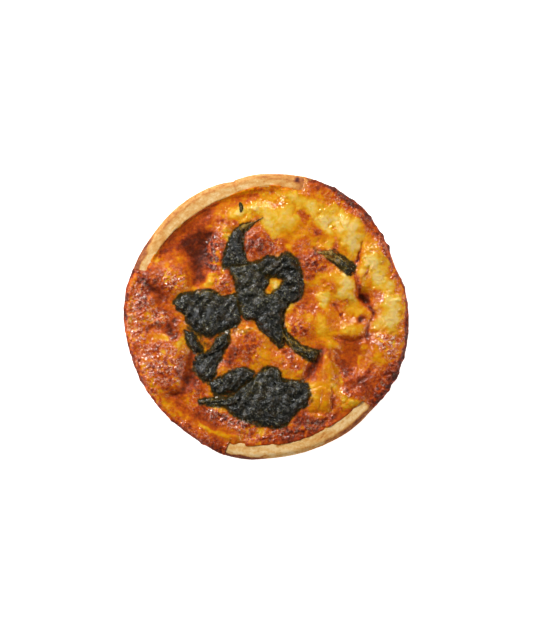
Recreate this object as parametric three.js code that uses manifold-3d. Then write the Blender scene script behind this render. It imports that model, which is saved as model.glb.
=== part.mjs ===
// A single-serving spinach quiche: a shallow pastry case with sloping sides, a puffed custard
// filling that has browned and run over part of the rim, and wilted spinach leaves baked on top.
// Millimetres, +Z up. The origin is the middle of the flat underside, where the quiche rests.

import * as THREE from 'three';
import { mergeVertices } from 'three/addons/utils/BufferGeometryUtils.js';
import Module from 'manifold-3d';

const wasm = await Module();
wasm.setup();

// ---- Pastry case ----
const RIM_RADIUS = 54.8; // outer edge of the rim
const CASE_HEIGHT = 25.5; // underside to the flat top of the rim
const BASE_RADIUS = 46.5; // where the sloping wall would meet the underside
const RIM_WIDTH = 5.6; // inner edge to outer edge of the rim
const SHOULDER = 2; // sloping outer part of that width
const SHOULDER_DROP = 1.5; // how far the shoulder falls
const INNER_LIP = 5; // upright upper part of the inner face
const FLOOR = 4; // pastry below the filling
const FLOOR_RADIUS = 41.5; // inside, where the inner face meets the floor
const FOOT_ROUND = 2.4; // rounding between wall and underside
const FOOT_STEPS = 3; // facets up that rounding
const WALL_STEPS = 3; // facets up the wall
const INNER_RADIUS = RIM_RADIUS - RIM_WIDTH;
const SIDES = 90; // facets round the case and the filling

// Where the hand-pressed edge swells (+) or draws in (-): middle and spread in degrees, and size.
const OUTER_BULGES = [
  { at: 64, spread: 17, size: 1.5 },
  { at: 20, spread: 8, size: -1.5 },
  { at: 103, spread: 6, size: -0.6 },
  { at: 140, spread: 10, size: -0.5 },
  { at: 172, spread: 12, size: 0.5 },
  { at: 257, spread: 11, size: 1.1 },
  { at: 296, spread: 12, size: -0.3 },
];
const INNER_BULGES = [
  { at: 122, spread: 15, size: -1.2 },
  { at: 84, spread: 7, size: 0.9 },
  { at: 256, spread: 6, size: 1 },
  { at: 302, spread: 6, size: -0.6 },
];

// ---- Custard filling ----
const GAP = 0.3; // clearance between pieces that touch
const TOP_RINGS = 24; // rings of facets across the filling's top
const MIDDLE_RISE = 0.3; // general level of the filling above the rim
const RIM_LAYER = 1.2; // browned custard lying on the rim
const THINNEST = 0.6; // least thickness of that layer
const EDGE_BLEND = [40, 48.5]; // radii between which the level turns from middle to edge
const EDGE_BAND = 2.5; // no hollow dips below the edge's level this close to the case
const RUN_OVER_INSET = 0.15; // the layer stops this far inside the case's outer edge
const RAMP = 7; // degrees within a bare stretch over which the filling sinks to its level
const CUT_STEP = 1.5; // degrees between the points of a bare stretch's outline
const CUT_REACH = RIM_RADIUS + 6; // past the case's outer edge everywhere

// Stretches of rim that stay bare, anticlockwise in degrees. The filling's edge lies at `level`,
// measured from the rim's top. `round` is how many degrees each end takes to curve shut.
const BARE_STRETCHES = [
  { from: 78, to: 160.5, level: -2.2, round: [1, 4] },
  { from: 254, to: 320, level: -0.4, round: [0.5, 4] },
];

// Puffed mounds and sunken hollows of the top: centre x and y, two half-widths, turn of the first
// half-width from +X in degrees, and rise.
const MOUNDS = [
  [-40, -20, 9.5, 11, 0, 2.3],
  [-37, 14, 7, 5, -20, 1.7],
  [-18.5, 13.5, 6, 4, 20, 1.4],
  [-19, 25, 6.5, 3, 80, 1.4],
  [-4.5, 28, 4.5, 6.5, 0, 1.3],
  [6, 38, 6.5, 5, 0, 1],
  [32, 33, 5.5, 7, -25, 1.4],
  [18.5, 20, 4.5, 4, 0, 1.4],
  [42, 21, 6, 7, -20, 1.2],
  [29, 13, 7.5, 5.5, -20, 1.9],
  [47, 2, 5, 9, 5, 1.7],
  [33, -5, 6, 4, 10, 1.5],
  [22, -3, 4.5, 5.5, 0, 1.2],
  [12, -3, 5.5, 5.5, 0, 1.5],
  [44, -14, 5, 6, 20, 1.1],
  [11, -19, 6.5, 5.5, -10, 1.9],
  [24, -20, 3, 7.5, 8, 1.7],
  [21, -31, 4.8, 6.5, 8, 1.8],
  [31, -32, 4, 4.5, -30, 1.2],
  [-7, -10.5, 8, 7, 0, 1.8],
  [1.5, -17, 4.5, 3.5, 0, 1.2],
  [-16.5, -20.5, 4, 3.5, 30, 1.1],
];
const HOLLOWS = [
  [-27, 27, 9, 7.5, 30, -1.9],
  [-27.5, 14, 3, 6.5, 0, -1.2],
  [-29.5, -21, 2.2, 9, 0, -1.7],
  [-34, -33, 6, 2.4, -40, -1.3],
  [-22, -43.5, 9, 2, -28, -0.9],
  [38, 7.5, 2.8, 3.4, 20, -2.4],
  [33, -17, 6, 6.5, 0, -1.5],
  [18.5, -19, 6, 2, 65, -1.7],
  [16, 8, 3, 4.5, 0, -0.9],
];
const SWELL_POWER = 3; // how abruptly a mound's side falls away from its crown

// A small shred of leaf stuck in the custard near the rim.
const FLECK = { at: [-10.1, 42], half: [0.65, 1.9, 0.55], sides: 10 };

// ---- Spinach ----
const LEAF_GAP = 0.35; // clearance under a leaf
const LEAF_MIDDLE = 1.3; // thickness along a leaf's middle
const LEAF_EDGE = 0.5; // thickness at its edges
const FACET = 2.1; // size of a leaf's facets
const BRIDGE = 1; // a leaf spans dips narrower than twice this

// Each leaf is a sheet stretched between two edges that run the same way, given as the few
// points that each edge bends through. `folds` ripple along the sheet, `lift` raises a fold.
const LEAVES = {
  spinach_tall_leaf: [{
    one: [
      [-16.4, 19.3], [-16.9, 21.5], [-15.6, 26.5], [-13.2, 31.5], [-9.6, 34.8], [-5, 36.2],
      [-1.2, 38.4],
    ],
    other: [[-7.8, 20.8], [-8.8, 24.5], [-9.2, 29], [-8, 32.8], [-4.6, 35.2], [-0.9, 37.6]],
    folds: 3,
    lift: 0,
  }],
  spinach_centre_clump: [{
    one: [[-14.4, 18.2], [-12.4, 15], [-11, 11], [-10.1, 6], [-9.2, 0.5]],
    other: [[-5.5, 19.8], [-2, 17.5], [-1.3, 13], [-0.2, 9.2], [2, 5], [1.5, 1]],
    folds: 3,
    lift: 0,
  }, {
    one: [
      [-6.4, 19.6], [-2.5, 20.8], [1, 23.4], [4.6, 22.2], [7.6, 24.7], [11.4, 21.6], [13.4, 17],
      [14.1, 11.5], [12.9, 7], [8.6, 4.9],
    ],
    other: [
      [-5.2, 16], [-1.6, 16.2], [1.2, 15.6], [4, 15.9], [5.9, 15.2], [5.8, 12.4], [4.6, 10.2],
      [3, 8.9], [1.8, 6.4], [2.6, 3.2],
    ],
    folds: 5,
    lift: 0.35,
  }, {
    one: [
      [-10, 7], [-9.4, 2.5], [-8.2, -0.6], [-5, -1.4], [-2.6, -4.4], [0.6, -7.6], [3, -10.4],
      [5, -12.4],
    ],
    other: [
      [4, 9], [8.4, 5.2], [6.8, 1.5], [6.3, -2], [6.8, -5.6], [7, -8.4], [6.4, -10.8],
      [5.8, -12.2],
    ],
    folds: 4,
    lift: 0.7,
  }],
  spinach_tail: [{
    one: [[7.6, -5.6], [9.4, -8.4], [12.6, -11], [16.6, -12.6], [20.8, -13.6]],
    other: [[7.7, -9.2], [9.4, -11.9], [12.6, -14.6], [15.8, -16.6], [18.8, -17.7]],
    folds: 2,
    lift: 0,
  }],
  spinach_left_leaf: [{
    one: [
      [-35.8, 5.2], [-32.5, 8.3], [-28.5, 9.1], [-24, 9.8], [-20, 9.2], [-17, 7.5], [-13.5, 8],
      [-11.5, 8.2],
    ],
    other: [
      [-34.8, 2.6], [-31.4, 0.4], [-30, -3], [-27, -6], [-22.8, -8], [-19.4, -7.2], [-15, -5],
      [-11.8, -3.2], [-10.5, -1.4],
    ],
    folds: 6,
    lift: 0,
  }],
  spinach_left_strand: [{
    one: [[-31.6, -6.2], [-31, -9], [-29.4, -12.2], [-27.6, -13.8]],
    other: [[-28.8, -6.8], [-27.2, -8.6], [-25.6, -11.2], [-24.8, -13.2]],
    folds: 2,
    lift: 0,
  }],
  spinach_lower_left_leaf: [{
    one: [
      [-19.2, -8.6], [-20.4, -11.5], [-22.6, -14], [-26.6, -15.6], [-28.4, -19.6], [-26.6, -22.6],
      [-24.2, -24.6],
    ],
    other: [
      [-14.6, -6.6], [-14.5, -9.8], [-16.6, -13.6], [-18.2, -17.4], [-19.7, -20.4], [-20.2, -23],
      [-21.8, -24.9],
    ],
    folds: 4,
    lift: 0,
  }],
  spinach_small_lower_leaf: [{
    one: [[-21.9, -26.4], [-18.6, -24.2], [-15, -22], [-11, -20.4], [-7.6, -20.6], [-5, -22.2]],
    other: [[-21.4, -28.8], [-18.2, -30.2], [-14.9, -29.4], [-11.8, -28.2], [-8.8, -26], [-6, -24.2]],
    folds: 4,
    lift: 0,
  }],
  spinach_big_lower_leaf: [{
    one: [
      [-26, -32.9], [-20, -31.6], [-15.4, -31.7], [-11.8, -30], [-8.8, -27.2], [-5.2, -24.6],
      [-2, -20.9], [1, -20], [4.5, -20.8], [6.3, -24.4], [10.5, -25], [15.2, -26], [16.5, -30.6],
    ],
    other: [
      [-25.8, -33.9], [-20, -34.6], [-15.4, -35.8], [-11.4, -39], [-6.4, -41], [-1, -42.6],
      [3.6, -43.1], [8, -41.6], [10.2, -38.6], [12, -36.6], [15.8, -34.6],
    ],
    folds: 7,
    lift: 0,
  }],
  spinach_right_leaf: [{
    one: [[19.6, 25], [23.4, 25.4], [26.4, 24.9], [29, 22.8], [31.4, 20.6], [34, 19], [33.8, 17.4]],
    other: [[19.8, 24.4], [22.6, 23.8], [25, 22], [26.9, 19.8], [29, 18], [30.8, 16.8], [32.2, 16.2]],
    folds: 2,
    lift: 0,
  }],
};
const FOLD_HEIGHT = 0.35; // half the height of a leaf's folds
const FOLD_SLANT = 1.5; // folds crossed on the way from one edge to the other
const TIP_SHARE = 0.02; // how blunt a leaf's ends are, as a share of its length

// ---- Small helpers ----
const { clamp, lerp, smoothstep, degToRad, radToDeg } = THREE.MathUtils;
const MIDDLE = new THREE.Vector2(0, 0);
const ROUNDING = 0.01; // slack for comparing radii that were computed in two ways

// Signed difference between two directions in degrees, from -180 to 180.
function turnBetween(from, to) {
  return ((to - from + 540) % 360) - 180;
}

// Direction of a point from the middle, from 0 to 360 degrees.
function directionOf(x, y) {
  return (radToDeg(Math.atan2(y, x)) + 360) % 360;
}

// Sum of bell-shaped swellings at a direction.
function bulge(list, direction) {
  let total = 0;
  for (const { at, spread, size } of list) {
    total += size * Math.exp(-0.5 * (turnBetween(at, direction) / spread) ** 2);
  }
  return total;
}

// The geometry with only its positions, seams merged, as a manifold-3d solid.
function toSolid(geometry) {
  const bare = new THREE.BufferGeometry();
  bare.setAttribute('position', geometry.getAttribute('position'));
  bare.setIndex(geometry.getIndex());
  const merged = mergeVertices(bare, 1e-3);
  const corners = merged.getIndex().array;
  const kept = [];
  for (let i = 0; i < corners.length; i += 3) {
    const [a, b, c] = [corners[i], corners[i + 1], corners[i + 2]];
    if (a !== b && b !== c && c !== a) {
      kept.push(a, b, c);
    }
  }
  return new wasm.Manifold(new wasm.Mesh({
    numProp: 3,
    vertProperties: new Float32Array(merged.getAttribute('position').array),
    triVerts: new Uint32Array(kept),
  }));
}

// A manifold-3d solid back as a geometry.
function toGeometry(solid) {
  const mesh = solid.getMesh();
  const geometry = new THREE.BufferGeometry();
  geometry.setAttribute('position', new THREE.BufferAttribute(mesh.vertProperties, 3));
  geometry.setIndex(new THREE.BufferAttribute(mesh.triVerts, 1));
  return geometry;
}

// Moves every vertex of a geometry to where `place` puts it.
function displace(geometry, place) {
  const position = geometry.getAttribute('position');
  const point = new THREE.Vector3();
  for (let i = 0; i < position.count; i += 1) {
    point.fromBufferAttribute(position, i);
    place(point);
    position.setXYZ(i, point.x, point.y, point.z);
  }
  return geometry;
}

// Moves a point away from the upright axis.
function moveOut(point, distance) {
  const radius = Math.hypot(point.x, point.y);
  if (radius > ROUNDING) {
    point.x *= 1 + distance / radius;
    point.y *= 1 + distance / radius;
  }
}

// A profile of [radius, height] pairs turned about +Z.
function turned(profile) {
  const points = profile.map(([radius, height]) => new THREE.Vector2(radius, height));
  return new THREE.LatheGeometry(points, SIDES).rotateX(Math.PI / 2);
}

// ---- Radii and levels that several pieces share ----
function outerRadius(direction) {
  return RIM_RADIUS + bulge(OUTER_BULGES, direction);
}

function innerRadius(direction) {
  return INNER_RADIUS + bulge(INNER_BULGES, direction);
}

// How far up the sloping part of the case's inner face a height is, from 0 to 1.
function innerShare(height) {
  return clamp((height - FLOOR) / (CASE_HEIGHT - INNER_LIP - FLOOR), 0, 1);
}

// Height of the case's upper side from the inner edge outwards: flat, then the sloping shoulder.
function rimTop(radius, direction) {
  const along = clamp((radius - outerRadius(direction) + SHOULDER) / SHOULDER, 0, 1);
  return CASE_HEIGHT - SHOULDER_DROP * along;
}

// Share of the drop to a bare stretch's own level that is reached at a direction. It starts where
// the stretch's rounded ends are fully open.
function sunk(direction, { from, to, round }) {
  const past = turnBetween(from, direction) - round[0] - CUT_STEP;
  const left = turnBetween(direction, to) - round[1] - CUT_STEP;
  return Math.min(smoothstep(past, 0, RAMP), smoothstep(left, 0, RAMP));
}

// Level of the filling's edge above the rim's flat top.
function edgeLevel(direction) {
  let level = RIM_LAYER;
  for (const stretch of BARE_STRETCHES) {
    level = lerp(level, stretch.level, sunk(direction, stretch));
  }
  return level;
}

// Height of the filling's top over a point.
function fillingTop(x, y) {
  const radius = Math.hypot(x, y);
  const direction = directionOf(x, y);
  const towardsEdge = smoothstep(radius, ...EDGE_BLEND);
  let height = CASE_HEIGHT + lerp(MIDDLE_RISE, edgeLevel(direction), towardsEdge);
  for (const [middleX, middleY, halfOne, halfOther, turn, rise] of [...MOUNDS, ...HOLLOWS]) {
    const [dx, dy] = [x - middleX, y - middleY];
    const [cos, sin] = [Math.cos(degToRad(turn)), Math.sin(degToRad(turn))];
    const away = Math.hypot((dx * cos + dy * sin) / halfOne, (dy * cos - dx * sin) / halfOther);
    height += rise * Math.exp(-(away ** SWELL_POWER));
  }
  if (radius > innerRadius(direction) - EDGE_BAND) {
    height = Math.max(height, CASE_HEIGHT + edgeLevel(direction) - (RIM_LAYER - GAP - THINNEST));
  }
  return height - (CASE_HEIGHT - rimTop(radius, direction));
}

// ---- Pastry case ----
function pastryCase() {
  const shoulderHeight = CASE_HEIGHT - SHOULDER_DROP;
  const profile = [[0, 0]];
  for (let step = 0; step <= FOOT_STEPS; step += 1) {
    const turn = (step / FOOT_STEPS) * (Math.PI / 2);
    profile.push([BASE_RADIUS - FOOT_ROUND * (1 - Math.sin(turn)), FOOT_ROUND * (1 - Math.cos(turn))]);
  }
  for (let step = 1; step <= WALL_STEPS; step += 1) {
    const up = step / WALL_STEPS;
    profile.push([lerp(BASE_RADIUS, RIM_RADIUS, up), lerp(FOOT_ROUND, shoulderHeight, up)]);
  }
  profile.push(
    [RIM_RADIUS - SHOULDER, CASE_HEIGHT],
    [INNER_RADIUS, CASE_HEIGHT],
    [INNER_RADIUS, CASE_HEIGHT - INNER_LIP],
    [FLOOR_RADIUS, FLOOR],
    [0, FLOOR],
  );
  const shaped = displace(turned(profile), (point) => {
    const radius = Math.hypot(point.x, point.y);
    const direction = directionOf(point.x, point.y);
    const nominalInner = lerp(FLOOR_RADIUS, INNER_RADIUS, innerShare(point.z));
    const isInner = point.z >= FLOOR && radius < nominalInner + ROUNDING;
    const swelling = isInner ? innerShare(point.z) * bulge(INNER_BULGES, direction)
      : clamp(point.z / shoulderHeight, 0, 1) * bulge(OUTER_BULGES, direction);
    moveOut(point, swelling);
  });
  return toGeometry(toSolid(shaped));
}

// ---- Custard filling ----
// The piece that a bare stretch leaves off the filling's edge: everything outside the case's
// inner face between two directions, closing in a curve at each end.
function bareStretchCut({ from, to, round }) {
  const count = Math.round((to - from) / CUT_STEP);
  const inner = [];
  const outer = [];
  for (let i = 0; i <= count; i += 1) {
    const direction = lerp(from, to, i / count);
    const angle = degToRad(direction);
    const shut = clamp(Math.max(1 - (direction - from) / round[0], 1 - (to - direction) / round[1]), 0, 1);
    const radius = lerp(innerRadius(direction) - GAP, CUT_REACH, 1 - Math.sqrt(1 - shut ** 2));
    inner.push(new THREE.Vector2(radius, 0).rotateAround(MIDDLE, angle));
    outer.unshift(new THREE.Vector2(CUT_REACH + GAP, 0).rotateAround(MIDDLE, angle));
  }
  const shape = new THREE.Shape([...outer, ...inner]);
  return new THREE.ExtrudeGeometry(shape, { depth: CASE_HEIGHT, bevelEnabled: false })
    .translate(0, 0, CASE_HEIGHT / 2);
}

// The plug that fills the case, with a lip all round that the bare stretches are then cut from.
function custardFilling() {
  const plugRadius = INNER_RADIUS - GAP;
  const lipRadius = RIM_RADIUS - RUN_OVER_INSET;
  const lipUnderside = CASE_HEIGHT + GAP;
  const topMark = CASE_HEIGHT * 2; // stands for "on the top" until the vertex is placed
  const profile = [
    [0, FLOOR + GAP],
    [FLOOR_RADIUS - GAP, FLOOR + GAP],
    [plugRadius, CASE_HEIGHT - INNER_LIP],
    [plugRadius, lipUnderside],
    [RIM_RADIUS - SHOULDER, lipUnderside],
    [lipRadius, lipUnderside],
  ];
  for (let ring = 0; ring <= TOP_RINGS; ring += 1) {
    profile.push([lipRadius * (1 - ring / TOP_RINGS), topMark]);
  }
  const shaped = displace(turned(profile), (point) => {
    const radius = Math.hypot(point.x, point.y);
    const direction = directionOf(point.x, point.y);
    const isTop = point.z === topMark;
    const isLip = isTop || radius > plugRadius + ROUNDING;
    moveOut(point, isLip ? smoothstep(radius, EDGE_BLEND[0], lipRadius) * bulge(OUTER_BULGES, direction)
      : innerShare(point.z) * bulge(INNER_BULGES, direction));
    const top = fillingTop(point.x, point.y);
    if (isTop) {
      point.z = top;
    } else if (point.z > CASE_HEIGHT) {
      const outwards = Math.hypot(point.x, point.y);
      point.z = Math.min(rimTop(outwards, direction) + GAP, top - THINNEST);
    }
  });
  let solid = toSolid(shaped);
  for (const stretch of BARE_STRETCHES) {
    solid = solid.subtract(toSolid(bareStretchCut(stretch)));
  }
  const [fleckX, fleckY] = FLECK.at;
  const fleck = new THREE.SphereGeometry(1, FLECK.sides, FLECK.sides / 2)
    .scale(...FLECK.half)
    .translate(fleckX, fleckY, fillingTop(fleckX, fleckY));
  return toGeometry(solid.add(toSolid(fleck)));
}

// ---- Spinach ----
// Height that a leaf rests at over a point: the highest of the filling close around it.
function restingHeight(x, y) {
  const around = [0, 60, 120, 180, 240, 300].map(degToRad);
  const heights = around.map((angle) => {
    const [dx, dy] = [BRIDGE * Math.cos(angle), BRIDGE * Math.sin(angle)];
    return fillingTop(x + dx, y + dy);
  });
  return Math.max(fillingTop(x, y), ...heights) + LEAF_GAP;
}

// A thin closed sheet between two edges. Along it `u` runs from 0 to 1, across it `v` does, and a
// box with many facets supplies the faces: its lower side's facets are split as its upper side's.
function leafSheet({ one, other, folds, lift }, isStacked) {
  const toPoints = (pairs) => pairs.map(([x, y]) => new THREE.Vector2(x, y));
  const outline = [...toPoints(one), ...toPoints(other).reverse()];
  const [right, left] = THREE.ShapeUtils.area(outline) > 0 ? [one, other] : [other, one];
  const edges = [right, left].map((pairs) => new THREE.SplineCurve(toPoints(pairs)));
  const across = edges[0].getPointAt(0.5).distanceTo(edges[1].getPointAt(0.5));
  const alongCount = Math.ceil(Math.max(edges[0].getLength(), edges[1].getLength()) / FACET);
  const acrossCount = Math.max(2, Math.ceil(across / FACET));
  const sheet = new THREE.BoxGeometry(1, 1, 1, alongCount, acrossCount, 1);
  matchDiagonals(sheet);
  return displace(sheet, (point) => {
    const u = point.x + 0.5;
    const v = point.y + 0.5;
    const isUpper = point.z > 0;
    const plan = edges[0].getPointAt(u).lerp(edges[1].getPointAt(u), v);
    const alongArch = Math.sin(Math.PI * lerp(TIP_SHARE, 1 - TIP_SHARE, u));
    const acrossArch = Math.sin(Math.PI * clamp(v, 0, 1));
    const crown = Math.sqrt(alongArch * acrossArch);
    const fold = FOLD_HEIGHT * (1 + Math.sin(2 * Math.PI * (folds * u + FOLD_SLANT * v)));
    const wave = lift + fold * crown;
    const thickness = lerp(LEAF_EDGE, LEAF_MIDDLE, crown);
    const rest = restingHeight(plan.x, plan.y);
    const underside = isStacked ? rest : rest + wave;
    point.set(plan.x, plan.y, isUpper ? rest + wave + thickness : underside);
  });
}

// Turns the diagonal of each facet on a box's lower side, so that it lies under the upper one.
function matchDiagonals(box) {
  const index = box.getIndex();
  const position = box.getAttribute('position');
  for (let i = 0; i < index.count; i += 6) {
    const [a, b, d, c] = [index.getX(i), index.getX(i + 1), index.getX(i + 2), index.getX(i + 4)];
    const isLower = [a, b, c, d].every((corner) => position.getZ(corner) < 0);
    if (isLower) {
      [a, b, c, a, c, d].forEach((corner, k) => index.setX(i + k, corner));
    }
  }
}

// One leaf, or a clump of folds pressed together, which has no hollow between its layers.
function spinachLeaf(sheets) {
  const isStacked = sheets.length > 1;
  const [first, ...others] = sheets.map((sheet) => toSolid(leafSheet(sheet, isStacked)));
  return toGeometry(others.reduce((whole, sheet) => whole.add(sheet), first));
}

// ---- The quiche ----
const PASTRY = new THREE.MeshStandardMaterial({ color: 0xd9a866, roughness: 0.85, metalness: 0 });
const CUSTARD = new THREE.MeshStandardMaterial({ color: 0xd08a2a, roughness: 0.4, metalness: 0 });
const SPINACH = new THREE.MeshStandardMaterial({ color: 0x2b2f22, roughness: 0.35, metalness: 0 });

const quiche = new THREE.Group();

function addPiece(name, geometry, material) {
  const piece = new THREE.Mesh(geometry, material.clone());
  piece.name = name;
  quiche.add(piece);
}

addPiece('pastry_case', pastryCase(), PASTRY);
addPiece('custard_filling', custardFilling(), CUSTARD);
for (const [name, sheets] of Object.entries(LEAVES)) {
  addPiece(name, spinachLeaf(sheets), SPINACH);
}

export default quiche;
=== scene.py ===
# %% The frame that every piece is fitted to
import math

import bpy
import numpy as np
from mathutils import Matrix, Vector


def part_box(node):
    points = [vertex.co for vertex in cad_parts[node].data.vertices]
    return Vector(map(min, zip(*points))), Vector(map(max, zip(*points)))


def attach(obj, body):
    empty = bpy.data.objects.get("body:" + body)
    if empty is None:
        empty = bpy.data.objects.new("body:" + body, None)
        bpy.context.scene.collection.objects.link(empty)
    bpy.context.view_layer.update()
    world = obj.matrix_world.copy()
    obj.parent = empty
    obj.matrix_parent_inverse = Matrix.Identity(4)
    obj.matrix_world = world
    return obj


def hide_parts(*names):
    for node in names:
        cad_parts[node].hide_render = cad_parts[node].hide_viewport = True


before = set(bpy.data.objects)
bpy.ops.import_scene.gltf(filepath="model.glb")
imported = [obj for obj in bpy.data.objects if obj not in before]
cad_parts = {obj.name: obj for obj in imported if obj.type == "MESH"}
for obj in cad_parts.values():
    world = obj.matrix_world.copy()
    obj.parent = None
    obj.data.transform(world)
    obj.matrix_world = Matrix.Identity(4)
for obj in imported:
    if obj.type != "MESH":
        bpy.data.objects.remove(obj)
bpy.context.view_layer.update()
print("nodes:", ", ".join(sorted(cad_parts)))

# %% [markdown]
# # A spinach quiche
#
# This lesson dresses a small quiche: a short-pastry case, a baked custard filling and wilted
# spinach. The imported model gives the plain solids. Each cell replaces one of them with a fine
# surface of the same form, worked out with numpy as a grid of points, and gives it a finish.
#
# Lengths are in millimetres, as on a baker's ruler, and directions are in degrees, anticlockwise
# from +X. `MM` turns lengths into Blender's metres at the moment a mesh is made.

# %% Driving sizes
MM = 0.001
CASE_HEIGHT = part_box("pastry_case")[1].z / MM  # underside to the flat top of the rim
RIM_RADIUS = 54.8
RIM_WIDTH = 5.6
INNER_RADIUS = RIM_RADIUS - RIM_WIDTH
BASE_RADIUS = 46.5  # where the sloping wall would meet the underside
SHOULDER = 2  # sloping outer part of the rim
SHOULDER_DROP = 1.5
INNER_LIP = 5  # upright upper part of the case's inner face
FLOOR = 4  # pastry below the filling
FLOOR_RADIUS = 41.5
RIM_LAYER = 1.2  # browned custard lying on the rim
MIDDLE_RISE = 0.3  # the filling's general level above the rim
EDGE_BLEND = (40, 48.5)  # radii between which the middle's level becomes the edge's
EDGE_BAND = 2.5  # width of the band beside the case where a hollow can't cut the edge
LEAST_EDGE = 0.3  # how much lower than its level the filling's edge may be
RAMP = 7  # degrees over which the filling sinks to a bare stretch's level
CUT_STEP = 1.5  # degrees past a stretch's round end at which the filling starts to sink
CUT_REACH = RIM_RADIUS + 6  # a radius outside every part of the rim
print(f"case {CASE_HEIGHT:.1f} mm high, {2 * RIM_RADIUS:.1f} mm across")

# %% [markdown]
# ## The hand-pressed edge
#
# A real case is pressed into its tin by hand, so its edge swells and draws in. A bell-shaped
# swelling at a direction is enough for each place: the radius at a direction is the plain radius
# plus the sum of the swellings. Two stretches of rim stayed bare when the custard ran over.

# %% Swellings of the edge, and the bare stretches
# middle and spread in degrees, how far out
OUTER_SWELLINGS = [
    (64, 17, 1.5), (20, 8, -1.5), (103, 6, -0.6), (140, 10, -0.5), (172, 12, 0.5), (257, 11, 1.1),
    (296, 12, -0.3), (103.5, 2.5, -0.4), (262, 6, 0.45), (283, 8, 0.4), (303, 9, 0.7), (327, 5, 0.4),
    (343, 9, 0.95), (3, 7, 0.4), (14, 3.5, 0.7), (47.5, 3.5, 0.55), (251, 4.5, 0.6), (135, 8, 0.3),
    (178, 6, 0.3),
]
INNER_SWELLINGS = [(122, 15, -1.2), (84, 7, 0.9), (256, 6, 1), (302, 6, -0.6)]

# first and last direction, level of the filling's edge above the rim, degrees of each round end
BARE_STRETCHES = [(78, 162, -2.2, (1, 3)), (253.2, 321.5, -0.4, (0.5, 2.2))]
CRUST_ENDS = [(78, 161.2), (253.2, 320)]  # directions where the crust on the rim ends and starts again
# crust lying on a bare stretch: direction, spread in degrees, how far out it reaches
CRUST_OVERLAPS = [
    (257, 6, 1.0), (268, 8, 0.4), (284, 8, 0.5), (304, 5, 0.6), (92, 9, 0.8), (155, 5, 0.5),
]
print(f"{len(OUTER_SWELLINGS)} swellings outside, {len(INNER_SWELLINGS)} inside, "
      f"{len(BARE_STRETCHES)} bare stretches")

# %% The edge as a function of direction
def smooth(values, low, high):
    """0 below `low`, 1 above `high`, and the S-curve 3t^2 - 2t^3 between them."""
    t = np.clip((values - low) / (high - low), 0, 1)
    return t * t * (3 - 2 * t)


def blend(a, b, share):
    """a + (b - a) * share."""
    return a + (b - a) * share


def turn_between(start, end):
    """Signed difference between directions, from -180 to 180 degrees."""
    return (end - start + 540) % 360 - 180


def direction_of(x, y):
    """Direction of a point from the middle, from 0 to 360 degrees."""
    return np.degrees(np.arctan2(y, x)) % 360


def swelling(bells, direction):
    """Sum of size * exp(-half of the squared distance in spreads)."""
    return sum(size * np.exp(-0.5 * (turn_between(at, direction) / spread) ** 2)
               for at, spread, size in bells)


def outer_radius(direction):
    """Radius of the rim's outline: the plain radius plus the swellings."""
    return RIM_RADIUS + swelling(OUTER_SWELLINGS, direction)


def inner_radius(direction):
    """Radius of the case's upright inner face: the plain radius plus the swellings."""
    return INNER_RADIUS + swelling(INNER_SWELLINGS, direction)


def rim_top(radius, direction):
    """Height of the case's upper side: flat, then falling evenly over the shoulder."""
    along = np.clip((radius - outer_radius(direction) + SHOULDER) / SHOULDER, 0, 1)
    return CASE_HEIGHT - SHOULDER_DROP * along


def edge_level(direction):
    """Level of the filling's edge above the rim: the crust's, blended into each bare stretch's."""
    level = np.full_like(direction, RIM_LAYER)
    for start, end, sunk_level, (first_round, last_round) in BARE_STRETCHES:
        past = turn_between(start, direction) - first_round - CUT_STEP
        left = turn_between(direction, end) - last_round - CUT_STEP
        sunk = np.minimum(smooth(past, 0, RAMP), smooth(left, 0, RAMP))
        level = blend(level, sunk_level, sunk)
    return level


def bare_limit(direction):
    """Radius that the crust may reach. In a bare stretch it is the case's inner face, and each end
    curves outwards as a quarter ellipse: 1 - sqrt(1 - shut^2)."""
    limit = np.full_like(direction, CUT_REACH)
    uneven = wander(4 * direction, 0 * direction, 7, 61, 2)
    for (start, end), (_, _, _, (first_round, last_round)) in zip(CRUST_ENDS, BARE_STRETCHES):
        past = turn_between(start, direction) + uneven
        left = turn_between(direction, end) + uneven
        shut = np.clip(np.maximum(1 - past / first_round, 1 - left / last_round), 0, 1)
        start_of_crust = inner_radius(direction) + swelling(CRUST_OVERLAPS, direction)
        reach = blend(start_of_crust, CUT_REACH, 1 - np.sqrt(1 - shut ** 2))
        limit = np.where((past >= 0) & (left >= 0), np.minimum(limit, reach), limit)
    return limit


# %% [markdown]
# ## Chance, the same each time
#
# Baked food is uneven at every size. Three patterns give most of that: `wander`, a soft random
# field, `blisters`, a packing of small domes, and `creased`, flat crumbs with sharp valleys between
# them. They come from a whole-number hash of the grid square, so each run gives the same quiche.

# %% Random patterns over the plan
def hashed(column, row, seed):
    """A number from 0 to 1 for each grid square: multiply, shift and mix its whole numbers."""
    mixed = (column.astype(np.int64) * 374761393 + row.astype(np.int64) * 668265263
             + seed * 2246822519) & 0xFFFFFFFF
    mixed = ((mixed ^ (mixed >> 13)) * 1274126177) & 0xFFFFFFFF
    mixed = ((mixed ^ (mixed >> 16)) * 2654435761) & 0xFFFFFFFF
    return ((mixed ^ (mixed >> 15)) & 0xFFFFFF) / 0xFFFFFF


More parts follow.
